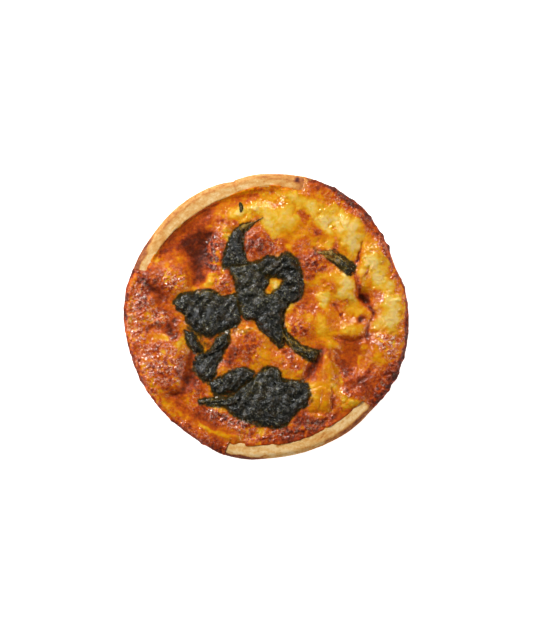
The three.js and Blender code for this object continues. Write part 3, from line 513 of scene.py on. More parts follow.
# path, half a width, doneness. Some dark strokes, along creases, in pits and in valleys, paint their
# shade as well as browning.
BROWNING_AND_SHADE_STROKES = [
    # upper left: a dark smooth hollow and the valley that runs out of it, browned skin with painted
    # shade in the hollow and beside the sunken rim
    ([(-30, 28)], 14, 0.58), ([(-36, 31), (-31, 36), (-24, 40)], 4, 0.6),
    ([(-29, 28), (-24, 28), (-25.4, 22)], 6, 0.84), ([(-26.4, 21), (-25.4, 15.5)], 3.4, 0.84),
    ([(-26, 30), (-22.4, 30)], 3, 0.98), ([(-28, 26), (-24.4, 22)], 3.4, 0.97),
    ([(-31.6, 27.6)], 2.4, 0.95), ([(-35, 33)], 2.4, 0.5),
    ([(-24, 41), (-33, 35.5), (-40, 28.5)], 2.2, 0.58), ([(-43, 25), (-41, 27)], 1.8, 0.66),
    ([(-38, 21.5), (-33, 23)], 3.2, 0.42), ([(-42.5, 21.5)], 1.4, YELLOW), ([(-39, 19.5)], 1.6, YELLOW),
    ([(-44, 17), (-41, 17)], 2.2, 0.64), ([(-37, 14)], 5.5, 0.5), ([(-36, 18)], 2, 0.4),
    ([(-37.5, 14.5)], 1.8, 0.3), ([(-45, 12), (-41, 9.5)], 2, 0.84), ([(-43, 13.4)], 1.6, BROWN),
    ([(-42, 7), (-38, 7.5)], 2.2, 0.66), ([(-27.4, 11.2)], 1.5, 0.3), ([(-18, 13)], 4.8, 0.48),
    ([(-20.5, 16.2), (-22.5, 12.5)], 1.6, 0.22), ([(-13.5, 11)], 2, 0.56),
    ([(-21.5, 20), (-20.5, 28)], 2.8, 0.74), ([(-18, 26), (-17.5, 22)], 1.6, 0.56),
    ([(-15.8, 26)], 1.2, 0.3), ([(-15, 19), (-13, 14)], 1.3, 0.52),
    ([(-17, 33.6), (-15, 31)], 2.8, 0.2), ([(-19, 37), (-15, 37.5), (-12, 35.6)], 1.3, 0.52),
    ([(-21.4, 35.5)], 1.9, 0.3), ([(-24, 41), (-20, 43)], 2.6, 0.72),
    ([(-16, 44.6), (-11, 46)], 2, 0.5), ([(-16, 42), (-13, 43)], 1.6, 0.44),
    # top: pale yellow beside the bare rim
    ([(-13, 40.5), (-6, 41), (-2, 42)], 3, 0.12), ([(-9, 47.3), (-4, 48)], 1.3, 0.58),
    ([(-1, 46), (2, 44)], 2, 0.2), ([(2, 41), (9, 38), (8, 35)], 5, 0.09),
    ([(-2, 49.3), (12, 49.6)], 1.2, 0.36), ([(1, 48.4), (5, 48.2)], 1.4, 0.2),
    ([(12, 46), (24, 44)], 4.2, 0.13), ([(3.6, 43.9)], 1.3, 0.62), ([(7, 44.4)], 1.5, 0.36),
    ([(-4.6, 28)], 5.5, 0.74), ([(-6, 33.5), (-3, 34)], 1.8, 0.46), ([(-5, 25)], 3, 0.66),
    ([(1.5, 28), (6, 27)], 3.4, 0.64), ([(2, 33), (8, 32), (12, 31)], 2, 0.27),
    ([(10.5, 29.5)], 2, 0.24), ([(12, 26.2), (13.4, 24)], 1.8, 0.5), ([(9, 26)], 1.2, 0.2),
    ([(1, 36), (4, 32.6), (6, 36)], 3, 0.13), ([(-10, 37), (-6, 38.6)], 2, 0.2),
    ([(1, 45), (7, 46)], 2.4, 0.2),
    # upper right: yellow puffs with a few brown freckles
    ([(20, 41), (24, 37), (28, 41)], 5.5, 0.1), ([(13.6, 40), (14.6, 37)], 1.4, 0.52),
    ([(16, 38.5)], 1.1, 0.45), ([(13, 34), (17, 33)], 2.2, 0.32), ([(19.6, 31.6)], 3, 0.42),
    ([(19.6, 32), (19.6, 30)], 1.6, 0.64), ([(26, 33)], 2, 0.27), ([(28.6, 28.7)], 1.1, 0.52),
    ([(32, 34), (33.6, 26)], 4.6, 0.04), ([(24, 28), (19, 28)], 2.4, 0.14),
    ([(33, 42), (36, 37)], 2, 0.16), ([(18.5, 20)], 4.6, 0.68), ([(22.2, 23.6)], 1.5, 0.14),
    ([(24.5, 21), (27, 18.6)], 1.3, 0.56), ([(16, 15), (20, 14)], 1.6, 0.6),
    ([(17, 8), (16.4, 5)], 2.7, 0.58), ([(23, 16), (17, 12)], 1.8, 0.3), ([(9, 3.4)], 2.1, 0.2),
    ([(12, 2.6), (18, 3.4)], 1.5, 0.52), ([(21.6, 9), (22, 4)], 2.2, 0.1),
    ([(28, 15), (31, 12)], 4, 0.19), ([(22.5, 11.6)], 1.4, 0.34), ([(33, 8), (29, 9)], 2, 0.12),
    ([(25.6, 5.2), (27, 2)], 1.5, 0.42), ([(34, 4), (36, 1)], 3, 0.13), ([(31.6, 6.4)], 1, 0.4),
    ([(28.6, 0.6)], 0.9, 0.8), ([(40, 22), (44, 20)], 5, 0.17), ([(41, 27)], 3, 0.2),
    ([(36.4, 17)], 1.6, 0.07), ([(39.4, 17)], 0.8, 0.36), ([(45, 14.6)], 1.8, 0.1),
    ([(47, 9), (47.5, 0), (45, -4)], 5, 0.04), ([(42, 9), (43, 7)], 2, 0.46), ([(40, 10)], 1.4, 0.4),
    # dark strokes along the creases and in the pit below them: browned skin with painted shade
    ([(35.6, 24.5), (34.6, 21)], 0.7, 0.74), ([(36.4, 10.6), (35.4, 13)], 0.8, 0.6),
    ([(37.6, 8), (38.4, 6.4)], 1.9, DARK), ([(39.6, 4.4), (41, 1.8)], 1.1, 0.72),
    ([(42, 19), (43, 14)], 3, 0.13), ([(45.4, 20.4)], 2.2, 0.09), ([(13, 22), (15, 20)], 2, 0.72),
    ([(32, 41), (35, 40)], 1.8, 0.24), ([(37, 27), (36, 24)], 1.2, 0.3), ([(27.8, 17)], 1.9, 0.3),
    # right and lower right
    ([(11, -3), (15, -5)], 4.6, 0.46), ([(13, -4.4), (11.5, -6.4)], 1.3, 0.64),
    ([(17.5, -8), (14.6, -7)], 1.4, 0.58), ([(16, -1)], 1.6, 0.28), ([(8.5, -3)], 1.3, 0.25),
    ([(22, -3), (23, -8)], 3, 0.24), ([(31, -5), (36.5, -4.6)], 3, 0.25), ([(37, -1.6)], 1.4, 0.86),
    ([(39.6, -5), (39.6, -9)], 1.2, 0.56), ([(24.6, -10.6), (28.6, -11.8)], 1.3, 0.16),
    ([(29, -9), (31, -8.6)], 1.3, 0.5), ([(33, -17), (32, -12)], 5.4, 0.6),
    ([(29.6, -18.5), (30.6, -22)], 1.9, 0.76), ([(36, -15.4), (36.2, -18)], 0.9, 0.2),
    ([(37, -12)], 1, 0.2), ([(38.6, -16), (39, -19)], 2.4, 0.45), ([(37.2, -11.8)], 1.4, 0.3),
    ([(44, -14.6), (43, -18)], 2.5, 0.2), ([(46, -8.6), (47.6, -12.6)], 3, 0.42),
    ([(42, -6), (46, -5.5)], 2, 0.25), ([(30.6, -22.4), (33, -25)], 3.2, 0.68),
    ([(42, -20.6), (36, -25), (31, -29)], 1.6, 0.68), ([(43, -23), (40, -26)], 1.6, 0.62),
    ([(11, -18.8)], 5.4, 0.3), ([(9.6, -18.6), (12.4, -19)], 2.3, 0.56), ([(9, -20)], 1, 0.76),
    ([(12.6, -19.6)], 0.9, 0.76), ([(7, -22)], 1.2, 0.17), ([(10, -23.2), (14, -21.6)], 1, 0.2),
    ([(8.8, -14.8)], 2.1, 0.72), ([(7, -13), (11, -13)], 1.8, 0.6),
    # the dark valley left of the triangular ridge: browned skin with painted shade
    ([(20.4, -16.5), (18.4, -19.5), (16.8, -23)], 1.9, 0.78), ([(22, -12.6), (21, -15)], 1.3, 0.7),
    ([(23.4, -16.4), (23.2, -20), (24.6, -23.6)], 2, 0.3), ([(22.8, -16)], 1, 0.14),
    ([(21.2, -22), (20.8, -24)], 1.3, 0.34), ([(26.2, -18.4), (29, -26)], 0.6, 0.2),
    ([(27.4, -17), (30.4, -24)], 0.9, 0.7), ([(18, -27), (25.6, -27.4)], 2.3, 0.22),
    ([(20, -32), (23, -34)], 3.4, 0.27), ([(18, -27)], 1.5, 0.16), ([(18.6, -31.4)], 1.5, 0.12),
    ([(23.6, -36.4)], 1.2, 0.2), ([(25.2, -35)], 0.8, 0.8), ([(26.6, -32), (25.6, -35.6)], 0.9, 0.62),
    ([(21.6, -39.2)], 1.6, 0.22), ([(30, -31.6)], 3.2, 0.26), ([(34, -30), (33, -35)], 2, 0.54),
    ([(37, -29)], 2, 0.7), ([(34.8, -33)], 1.5, 0.4), ([(28, -36.6)], 1.6, 0.56),
    ([(36.6, -28), (38.6, -25.6)], 2, 0.7), ([(12, -40.6), (20, -42.6), (27, -40)], 2.8, 0.8),
    ([(2, -45.4), (11, -45.6)], 2.6, 0.7), ([(16, -39), (13, -38.4)], 2.2, 0.68),
    ([(24.5, -38.6)], 1.4, 0.5), ([(-6, -47), (4, -48)], 1.4, 0.5),
    # middle: the mound between the leaves
    ([(-7, -13)], 6, 0.54), ([(-6, -11)], 2, 0.62), ([(-7, -7.6)], 1.3, 0.7),
    ([(-12.4, -7), (-8, -4.2), (-3.4, -4.4)], 1.3, 0.3), ([(1.6, -17), (0.4, -14)], 2.4, 0.3),
    ([(-12, -13), (-15, -18)], 2.1, 0.7), ([(-4, -17)], 2, 0.5), ([(-17, -21)], 2.2, 0.36),
    ([(-24, -11)], 2.4, 0.36), ([(-13, -20), (-8, -19)], 1.4, 0.5), ([(3, 12.6)], 3, 0.2),
    ([(4, 12.9)], 2, 0.02), ([(0.8, 10.8)], 1.3, 0.33),
    # left and lower left
    ([(-40, -18)], 9.4, 0.52), ([(-47, -17), (-46.4, -23)], 2.6, 0.36),
    ([(-41, -28), (-36, -28)], 2.4, 0.56), ([(-32.8, -10.6)], 2.5, 0.17), ([(-40, -15)], 3, 0.4),
    ([(-39, -25), (-43, -22)], 3, 0.6), ([(-33.6, -16), (-33, -23)], 1.8, 0.68),
    ([(-42, -13), (-46, -12)], 2, 0.6),
    ([(-29.6, -15), (-29.2, -22), (-31, -27), (-36, -30.6)], 1.9, 0.7), ([(-28.6, -28)], 1.9, 0.46),
    ([(-29.2, -32)], 1.6, 0.46), ([(-28, -26)], 2.6, 0.8), ([(-25, -27), (-25, -30)], 1.6, 0.6),
    ([(-37, -32), (-32, -35), (-27, -38), (-20, -42)], 1.9, 0.6), ([(-33.4, -38)], 1.6, 0.2),
    ([(-42, -32), (-38, -36)], 1.5, 0.42), ([(-50, -3)], 1.9, 0.26), ([(-50.2, -9)], 1.7, 0.22),
    ([(-42.4, -8), (-38.6, -8.2)], 1.7, 0.2), ([(-32.4, -4), (-31.6, -5.2)], 1.1, 0.3),
    ([(-35, -2.4)], 1.6, 0.72), ([(-46, -5)], 1.8, 0.74), ([(-46, -1)], 2.6, 0.44),
    ([(-38.4, -4), (-35.6, -6.6)], 2.2, 0.86), ([(-42.4, -3.6)], 1.5, 0.9),
    ([(-38, 1), (-42, 2)], 2.2, 0.62), ([(-25, -37.4), (-16, -39.6), (-8, -42.4)], 2.8, 0.66),
    ([(-18.2, -36.4)], 1.2, 0.27), ([(-33, -39), (-28, -41.4)], 1, 0.26),
    ([(-26, -41.6), (-21, -44), (-14, -46.9), (-10.5, -47.6)], 0.9, 0.2), ([(-3, -44.8)], 1.8, 0.2),
    ([(-27.4, -43.4), (-24, -45.4)], 1.9, 0.46), ([(-30, -40.6)], 1.2, 0.55),
]
print(f"{len(BROWNING_AND_SHADE_STROKES)} strokes of browning")

# %% Touches, and browning that follows the rim
# small places a little darker or lighter than the strokes leave them: place, width, change
TOUCHES = [
    (-15, 42, 3, 0.08), (5, 43.5, 3, 0.05), (33, 40, 2.5, 0.08), (42, 27, 2, 0.07), (36, -2, 2.5, 0.08),
    (31, -3, 2, 0.06), (40, -8, 2.2, 0.14), (8.6, -15, 2, 0.15), (18.4, -25, 2.2, 0.14),
    (11, -24.6, 2, 0.08), (48, -25, 2, 0.1), (-46, 8, 2.2, 0.18), (-35, -3, 2, 0.14),
    (-42, -8, 2.5, 0.12), (-38, -14, 2, 0.08), (-28.6, -25.6, 2.2, 0.12), (-22, -37, 2, 0.12),
    (-28, -42.4, 2.4, 0.08), (-29, 14, 2.5, 0.08), (-24, 14, 2, 0.08), (-22, 27, 2.2, 0.1),
    (-17, -18, 3, 0.06), (-40, 4.6, 2.4, 0.1), (28, 9.5, 2.5, -0.12), (38, 12, 2, -0.08),
    (45, -17, 2.4, -0.18), (41, -25, 2.4, -0.08), (34.6, -32.6, 2.6, -0.16), (29, -36.6, 2, -0.08),
    (48, 20, 2.2, -0.1), (28, 29, 2, -0.06), (3, 30, 2.4, -0.08), (20, 45, 2.6, -0.06),
    (28, 45, 2, -0.08), (-36, -28, 2.6, -0.1), (-44, -32, 2.6, -0.1), (-35, -38.6, 2, -0.12),
    (-34, 32, 2.6, -0.08), (-40, 11, 2.2, -0.1), (20, 5, 3, -0.06), (18, -4, 3, -0.06),
    (32, 12, 3, -0.06), (26, 0, 3, -0.05), (43, 8, 2.5, -0.05), (52.5, -1, 2.5, -0.12),
    (-22, 41, 2.4, 0.1), (5, -48.6, 2.4, -0.12), (10, 6.6, 2, -0.1), (14, 24.6, 2, -0.08),
    (-38, 21, 3, 0.05), (-14, -14, 2.6, 0.16), (-46, 4, 2.6, 0.17), (-50.4, -2, 2.4, -0.22),
    (52, 1, 3, -0.1), (25, 8, 2.8, -0.1), (24, -24, 2.4, -0.06), (-2, -17, 2.6, -0.16),
    (18, 24, 2.4, 0.08), (40, -2, 2.4, 0.06), (0, 42, 3, 0.1), (34, 33, 2.6, -0.07),
    (45, 15, 2.4, -0.05), (44, 6, 2.4, 0.05), (45, -17, 2.2, -0.06), (33, -33, 2.2, -0.08),
    (27, -36, 2, -0.06), (-28, -47, 2, 0.08), (-46, -14, 2.4, 0.08), (3, 31, 2, -0.05),
]
# browning that follows the rim: directions, radii, value, softness of the inner and outer border.
# The darker bands just inside the upper-left bare rim, from 112 to 150 degrees, where the custard
# lies sunk below it, are browned edge with painted shade of the rim.
BROWNING_AND_SHADE_BANDS = [
    ((86, 110), (48.2, 50), 0.38, 0.8), ((106, 116), (45, 50), 0.37, 1.2),
    ((117, 150), (44.5, 50), 0.66, 1.2), ((112, 140), (47.4, 50), 0.6, 0.4),
    ((142, 150), (46.4, 50), 0.7, 0.5), ((147, 161), (48.3, 50), 0.36, 0.4),
    ((76, 92), (49.6, 51), 0.4, 0.8), ((50, 76), (50.8, 60), 0.5, 1.4),
    ((14, 50), (51.3, 60), 0.6, 0.9), ((-18, 14), (52, 60), 0.38, 1.1),
    ((-48, -18), (48.6, 60), 0.66, 1.4), ((-42, -26), (45.6, 60), 0.72, 1.6),
    ((60, 76), (47.6, 51), 0.42, 1.5), ((158, 176), (46.6, 60), 0.66, 1.6),
    ((174, 192), (46.6, 60), 0.54, 1.6), ((192, 232), (51.6, 60), 0.62, 0.8),
    ((226, 242), (50.4, 60), 0.56, 1.2), ((240, 255), (50.6, 60), 0.57, 1.0),
    ((-48, 76), (54, 60), 0.9, 0.5), ((160, 255), (54.1, 60), 0.8, 0.5),
    ((284, 296), (46.4, 50.6), 0.72, 0.8), ((296, 326), (47.6, 50.6), 0.6, 0.8),
    ((268, 286), (46.4, 50), 0.74, 0.9), ((254, 268), (48.6, 51), 0.5, 0.7),
]
# painted over the bands: path, half a width, doneness
RIM_PATCHES = [
    ([(12, 52.4)], 0.8, 0.95), ([(15.5, 52.4)], 0.7, 0.85), ([(44, -28)], 3, 0.78),
    ([(46, -19.4), (43, -22)], 2.4, 0.48), ([(-47, -22), (-42, -30), (-36, -38)], 2.2, 0.38),
    ([(-18, -51.6), (-24, -49.8)], 1.6, 0.76), ([(-51, 13), (-52.6, 3), (-52, -8)], 1.5, 0.38),
    ([(36, 31), (36.6, 28)], 2, 0.05), ([(45.4, -16), (43, -20)], 2.4, 0.42),
    ([(34.4, -33), (31, -35)], 1.8, 0.34), ([(20, 49.5)], 1.5, 0.72), ([(50, -20)], 1.4, 0.74),
    ([(-51.4, 10)], 2.6, 0.42),
]
print(f"{len(TOUCHES)} touches, {len(BROWNING_AND_SHADE_BANDS)} bands, {len(RIM_PATCHES)} patches")

# %% From strokes to doneness, with painted light and shade
AMBER_COAT = 0.4  # doneness before any stroke
# painted shade: creases are made darker in proportion to their depth
CREASE_SHADE = 0.22  # more doneness for each millimetre that a crease is deep
TURNS_BROWN = (0.2, 0.48)  # doneness at which the skin starts to brown, and is brown
# on brown skin this is browning of the crowns; on yellow skin it turns over, paler crowns and oranger
# gaps, a painted highlight and painted shade
STIPPLE = 1.25  # browning per millimetre that a blister's crown gains, and the gaps between lose
# painted light and shade: yellow lumps paler on their crowns and oranger in their hollows
PAINTED_LUMP_SHADING = 0.5  # browning per millimetre that a yellow lump's crown loses


def doneness(x, y, rough):
    """Browning from 0 to 1: strokes over an amber coat, bands along the rim, creases darker as
    painted shade, yellow lumps and blisters paler on their crowns and oranger in their hollows as
    painted light and shade, and crowns of brown blisters browner than the gaps."""
    brush_x, brush_y = wobbled(x, y)
    radius, direction = np.hypot(brush_x, brush_y), direction_of(x, y)
    coat = np.full_like(x, AMBER_COAT) + 0.08 * wander(x, y, 9, 71)
    coat = paint(coat, brush_x, brush_y, BROWNING_AND_SHADE_STROKES)
    coat = paint_band(coat, radius, direction, BROWNING_AND_SHADE_BANDS)
    coat = paint(coat, brush_x, brush_y, RIM_PATCHES)
    for path, width, depth in CREASES:
        away = distance_to_path(brush_x, brush_y, path)
        coat += CREASE_SHADE * depth * np.exp(-(away / width) ** 2)
    for at_x, at_y, width, change in TOUCHES:
        coat += change * np.exp(-((brush_x - at_x) ** 2 + (brush_y - at_y) ** 2) / width ** 2)
    is_brown = smooth(coat, *TURNS_BROWN)
    coat -= PAINTED_LUMP_SHADING * (1 - is_brown) * (soft_lumps(x, y, rough) + 0.03)
    coat += STIPPLE * rough * skin_of_blisters(x, y) * (1.4 * is_brown - 0.4)
    coat += (0.03 + 0.06 * rough) * wander(x, y, 1.6, 81, 2) + 0.1 * is_brown * wander(x, y, 3, 85, 3)
    return np.clip(coat, 0, 1)


# %% [markdown]
# ## Making meshes
#
# Every piece is a closed skin of four-sided faces, from rings or grids of points. The signed
# volume is printed for each: it is positive only where the faces point outwards.

# %% From arrays to a mesh that rides on the model
def ring_faces(first, second):
    """Faces between two rings of equal length, anticlockwise rings, outwards where second is above."""
    return np.stack([first, np.roll(first, -1), np.roll(second, -1), second], axis=1)


def fan_faces(centre, ring, upwards):
    """Triangles from a centre point to a ring, facing up or down."""
    following = np.roll(ring, -1)
    middle = np.full_like(ring, centre)
    order = [middle, ring, following] if upwards else [middle, following, ring]
    return np.stack(order, axis=1)


def signed_volume(points, faces):
    """Sum over triangles of a . (b x c) / 6, with each four-sided face as two triangles."""
    total = 0.0
    for corners in faces:
        for k in range(1, corners.shape[1] - 1):
            a, b, c = points[corners[:, 0]], points[corners[:, k]], points[corners[:, k + 1]]
            total += np.einsum("ij,ij->", a, np.cross(b, c)) / 6
    return total


def make_piece(name, points, faces, attributes, replaced):
    """A smooth-shaded mesh from points in millimetres and arrays of faces, with one value per
    point for each attribute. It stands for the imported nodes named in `replaced`."""
    mesh = bpy.data.meshes.new(name)
    mesh.from_pydata((points * MM).tolist(), [], [f for corners in faces for f in corners.tolist()])
    mesh.polygons.foreach_set("use_smooth", np.ones(len(mesh.polygons), bool))
    for label, values in attributes.items():
        layer = mesh.attributes.new(label, "FLOAT", "POINT")
        layer.data.foreach_set("value", values.astype(np.float32))
    mesh.update()
    piece = bpy.data.objects.new(name, mesh)
    bpy.context.scene.collection.objects.link(piece)
    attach(piece, "root")
    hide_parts(replaced)
    triangles = sum(len(corners) * (corners.shape[1] - 2) for corners in faces)
    print(f"{name}: {triangles} triangles, {signed_volume(points, faces) / 1000:.2f} cm3")
    return piece


# %% [markdown]
# ## Where the leaves lie
#
# Each leaf's plan is given by two edge curves, those of the imported solids, and it tells two
# pieces something: the leaf where its skin is, and the custard where juice has stained it and
# where shade is painted beside and between the leaves.

# %% The edges of each leaf
# name of the node, then for each sheet: one edge, the other edge, folds, lift, fan point of pleats
LEAVES = {
    "spinach_tall_leaf": [(
        [(-16.2, 18.6), (-16.9, 21.5), (-15.6, 26.5), (-13.2, 31.5), (-9.6, 34.8), (-5, 36.2),
         (-1.3, 38.2)],
        [(-7.4, 20.0), (-8.8, 24.5), (-9.2, 29), (-8.2, 33), (-5, 35.7), (-1.2, 37.9)], 3, 0, (0, 41))],
    "spinach_centre_clump": [(
        [(-14.6, 19), (-12.7, 15), (-11.3, 11), (-10.5, 6), (-9.6, 0.5)],
        [(-5.5, 20.2), (-1.4, 17.5), (0.9, 13.4), (-0.5, 10.4), (2, 5), (1.5, 1)], 3, 0, (-12, 34)), (
        [(-6.4, 20.2), (-2.5, 21.4), (1, 23.4), (4.6, 22.2), (7.6, 24.7), (11.4, 21.6), (13.4, 17),
         (14.1, 11.5), (12.9, 7), (8.6, 4.9)],
        [(-5.2, 16), (-1.6, 15.6), (1.4, 14.9), (4, 15.2), (6.2, 14.5), (6, 12.2), (4.5, 10.4),
         (2.4, 9), (1.8, 6.4), (2.6, 3.2)], 5, 0.35, (2, 11)), (
        [(-10.4, 7), (-9.8, 2.5), (-8.4, -0.8), (-5, -1.6), (-2.6, -4.4), (0.6, -7.6), (3, -10.4),
         (5, -12.4)],
        [(4, 9), (8.4, 5.2), (6.8, 1.5), (6.3, -2), (6.8, -5.6), (7, -8.4), (6.4, -10.8),
         (5.8, -12.2)], 4, 0.7, (8, -20))],
    "spinach_tail": [(
        [(7.2, -5.2), (9.4, -8.2), (12.6, -11), (16.6, -12.6), (20.8, -13.6)],
        [(7.2, -9.2), (9.4, -11.9), (12.6, -14.6), (15.8, -16.6), (18.8, -17.7)], 2, 0, (0, 3))],
    "spinach_left_leaf": [(
        [(-35.8, 5.2), (-32.5, 8.3), (-28.5, 9.1), (-24, 9.8), (-20, 9.2), (-17, 7.5), (-13.5, 8),
         (-11, 8.2)],
        [(-34.8, 2.6), (-31.4, 0.4), (-30, -3), (-27, -6), (-22.8, -8), (-19.4, -7.2), (-15, -5),
         (-11.4, -3.4), (-9.8, -1.6)], 6, 0, (-21, -10))],
    "spinach_left_strand": [(
        [(-31.6, -5.6), (-31, -9), (-29.4, -12.2), (-27.4, -14.4)],
        [(-28.4, -6), (-27.0, -8.6), (-25.4, -11.2), (-24.4, -13.8)], 2, 0, (-36, 4))],
    "spinach_lower_left_leaf": [(
        [(-19.4, -8), (-20.4, -11.5), (-22.6, -14), (-26.6, -15.2), (-28.4, -19.6), (-26.6, -22.6),
         (-24.2, -25)],
        [(-14.4, -6), (-14.5, -9.8), (-16.6, -13.6), (-18.2, -17.4), (-19.7, -20.4), (-20.2, -23),
         (-21.6, -25.4)], 4, 0, (-14, 2))],
    "spinach_small_lower_leaf": [(
        [(-21.9, -26), (-18.6, -24.2), (-15, -22), (-11, -20.4), (-7.6, -20.6), (-4.8, -22.2)],
        [(-21.4, -28.8), (-18.2, -30.4), (-14.9, -29.8), (-11.8, -28.6), (-8.8, -26.4), (-5.8, -24.4)],
        4, 0, (2, -16))],
    "spinach_big_lower_leaf": [(
        [(-26, -32.9), (-20, -31.6), (-15.4, -31.3), (-11.8, -29.6), (-8.8, -27), (-5.2, -24.4),
         (-2, -20.9), (1, -20), (4.5, -20.8), (6.3, -24.4), (10.5, -25), (15.2, -26), (16.5, -30.6)],
        [(-25.8, -33.9), (-20, -34.6), (-15.4, -35.8), (-11.4, -39), (-6.4, -41), (-1, -42.6),
         (3.6, -43.1), (8, -41.6), (10.2, -38.6), (12, -36.6), (15.8, -34.6)], 7, 0, (4, -16))],
    "spinach_right_leaf": [(
        [(19.6, 24.8), (23.4, 25.2), (26.4, 24.8), (29, 23.2), (31.6, 21.3), (33.8, 19.4), (33.8, 17.4)],
        [(19.8, 24.4), (22.6, 23.4), (25, 21.5), (27.2, 19.6), (29, 18), (30.6, 16.7), (32.2, 16)],
        2, 0, (14, 30))],
}
print(f"{len(LEAVES)} leaves, {sum(len(sheets) for sheets in LEAVES.values())} sheets")

# %% A smooth curve along each edge
CURVE_STEPS = 24  # straight pieces that stand for each span of an edge curve


def edge_curve(corners, shares):
    """Points at shares of the length of a curve through the corners, and that length. Between two
    corners it is the cubic whose slope at each is half the step between its two neighbours."""
    spots = np.array(corners, float)
    before = np.concatenate([spots[:1], spots[:-1]])[:-1]
    after = np.concatenate([spots[1:], spots[-1:]])[1:]
    start, end = spots[:-1], spots[1:]
    t = (np.arange(CURVE_STEPS) / CURVE_STEPS)[None, :, None]
    slope_in, slope_out = (end - before) / 2, (after - start) / 2
    curve = ((2 * start - 2 * end + slope_in + slope_out)[:, None] * t ** 3
             + (3 * end - 3 * start - 2 * slope_in - slope_out)[:, None] * t ** 2
             + slope_in[:, None] * t + start[:, None])
    curve = np.concatenate([curve.reshape(-1, 2), spots[-1:]])
    travelled = np.concatenate([[0], np.cumsum(np.linalg.norm(np.diff(curve, axis=0), axis=1))])
    wanted = shares * travelled[-1]
    spots = np.stack([np.interp(wanted, travelled, curve[:, k]) for k in (0, 1)], axis=1)
    return spots, travelled[-1]


# %% How far the juice of the leaves has spread, and the painted shade beside them
OUTLINE_STEPS = 40  # straight pieces that stand for each edge when the stain is measured
# the dark halo beside each leaf is juice stain and painted shade, and it fades out this far past the
# leaf
JUICE_AND_SHADE_REACH = 1.5  # how far juice spreads past a leaf
# painted shade in the gaps between leaves, with their juice stain: path, half a width, stain
JUICE_AND_SHADE_STROKES = [
    ([(-10.6, 8), (-10.2, 0)], 1.3, 1), ([(-14, 19), (-7, 20.4)], 1.3, 1),
    ([(-29.6, -5), (-25, -8.4)], 1.6, 0.85), ([(-25, -14), (-24, -15)], 1.2, 0.9),
    ([(-20.5, -30.6), (-14, -30.6), (-8.6, -26.8), (-5.4, -24)], 1.1, 1),
    ([(-23, -25.4), (-21.4, -26.6)], 1, 0.9), ([(-18, -7), (-15, -5.6)], 1.2, 0.9),
    ([(-24, -11), (-21, -12)], 1.8, 0.5), ([(19.6, -14.8), (20.8, -16)], 1.3, 0.5),
    ([(-12, -6.6), (-6, -4.8)], 1.5, 0.52), ([(17, -28), (17, -33)], 0.9, 0.6),
    ([(18.6, 25.2), (24.6, 23.8)], 1.3, 0.5), ([(7, -4), (8.4, -7)], 1, 0.7),
]
# places where a leaf stains and shades less: path, half a width, share of the stain and painted shade
FAINT_STAINS_AND_SHADE = [([(-4, 36.8), (-1, 38.6)], 1.6, 0.4), ([(19.4, 24.8), (25.4, 23.8)], 1.9, 0.45)]


def inside_outline(x, y, corners):
    """Whether a line from each point towards +X crosses the closed outline an odd number of times."""
    crossed = np.zeros(x.shape, bool)
    for (x1, y1), (x2, y2) in zip(corners, corners[1:] + corners[:1]):
        if y1 != y2:
            crossed ^= ((y1 > y) != (y2 > y)) & (x < x1 + (y - y1) / (y2 - y1) * (x2 - x1))
    return crossed


def leaf_juice_and_shade(x, y):
    """Juice stain and painted shade from 0 to 1: full under a leaf, fading beside it, gone at the reach
    past its edge, and painted along the strokes.
    """
    away = np.full_like(x, np.inf)
    shares = np.linspace(0, 1, OUTLINE_STEPS + 1)
    for sheets in LEAVES.values():
        for one, other, *_ in sheets:
            outline = [tuple(spot) for side in (one, other) for spot in edge_curve(side, shares)[0]]
            away = np.minimum(away, distance_to_path(x, y, outline[:OUTLINE_STEPS + 1]))
            away = np.minimum(away, distance_to_path(x, y, outline[OUTLINE_STEPS + 1:]))
            closed = outline[:OUTLINE_STEPS + 1] + outline[:OUTLINE_STEPS:-1]
            away[inside_outline(x, y, closed)] = 0
    stain = 0.9 * (1 - smooth(away + 0.7 * wander(x, y, 2.4, 97, 3), 0.1, JUICE_AND_SHADE_REACH))
    stain = stain * paint(np.ones_like(x), x, y, FAINT_STAINS_AND_SHADE)
    return np.maximum(stain, paint(np.zeros_like(x), *wobbled(x, y), JUICE_AND_SHADE_STROKES))


# %% [markdown]
# ## The filling
#
# A round top could be a grid of rings and spokes, but its middle is far too dense and its edge
# too coarse. Here a square grid is bent into a disc, each square ring becoming a circle, which
# keeps all the faces about 0.3 mm. The disc's edge then follows the crust: out over the rim, or
# in along the case where the rim is bare. Rings below it close the piece inside the case.

# %% A square grid bent into the filling's outline
TOP_GRID = 301  # points along each side of the grid
CRUST_INSET = 0.15  # how far inside the rim's outline the crust ends
RAGGEDNESS = 0.22  # how far in and out its edge strays
# direction, half a width in degrees and size of the crumbs that stand out from the crust's edge
EDGE_CRUMBS = [
    (29.6, 1.1, 0.8), (34.6, 0.9, 0.5), (43.5, 0.8, 0.45), (-23.5, 1.0, 0.35), (-25.4, 2.4, 0.6),
    (-31, 1.4, 0.4), (-17, 1.2, 0.35), (12, 1.5, 0.3), (53, 1.2, 0.3), (62, 0.8, 0.3), (168, 1.5, 0.3),
    (186, 1.2, 0.25), (207, 1.0, 0.3), (228, 1.2, 0.3), (243, 0.8, 0.35),
]


def crust_edge(direction):
    """Radius of the filling's outline: the rim's, uneven and with crumbs, or the case's inner face
    where the rim is bare."""
    angle = np.radians(direction)
    uneven = RAGGEDNESS * wander(RIM_RADIUS * np.cos(angle), RIM_RADIUS * np.sin(angle), 1.6, 91, 2)
    for at, half, size in EDGE_CRUMBS:
        uneven = uneven + size * np.exp(-(turn_between(at, direction) / half) ** 2)
    return np.minimum(outer_radius(direction) - CRUST_INSET + uneven, bare_limit(direction) + 0.1)


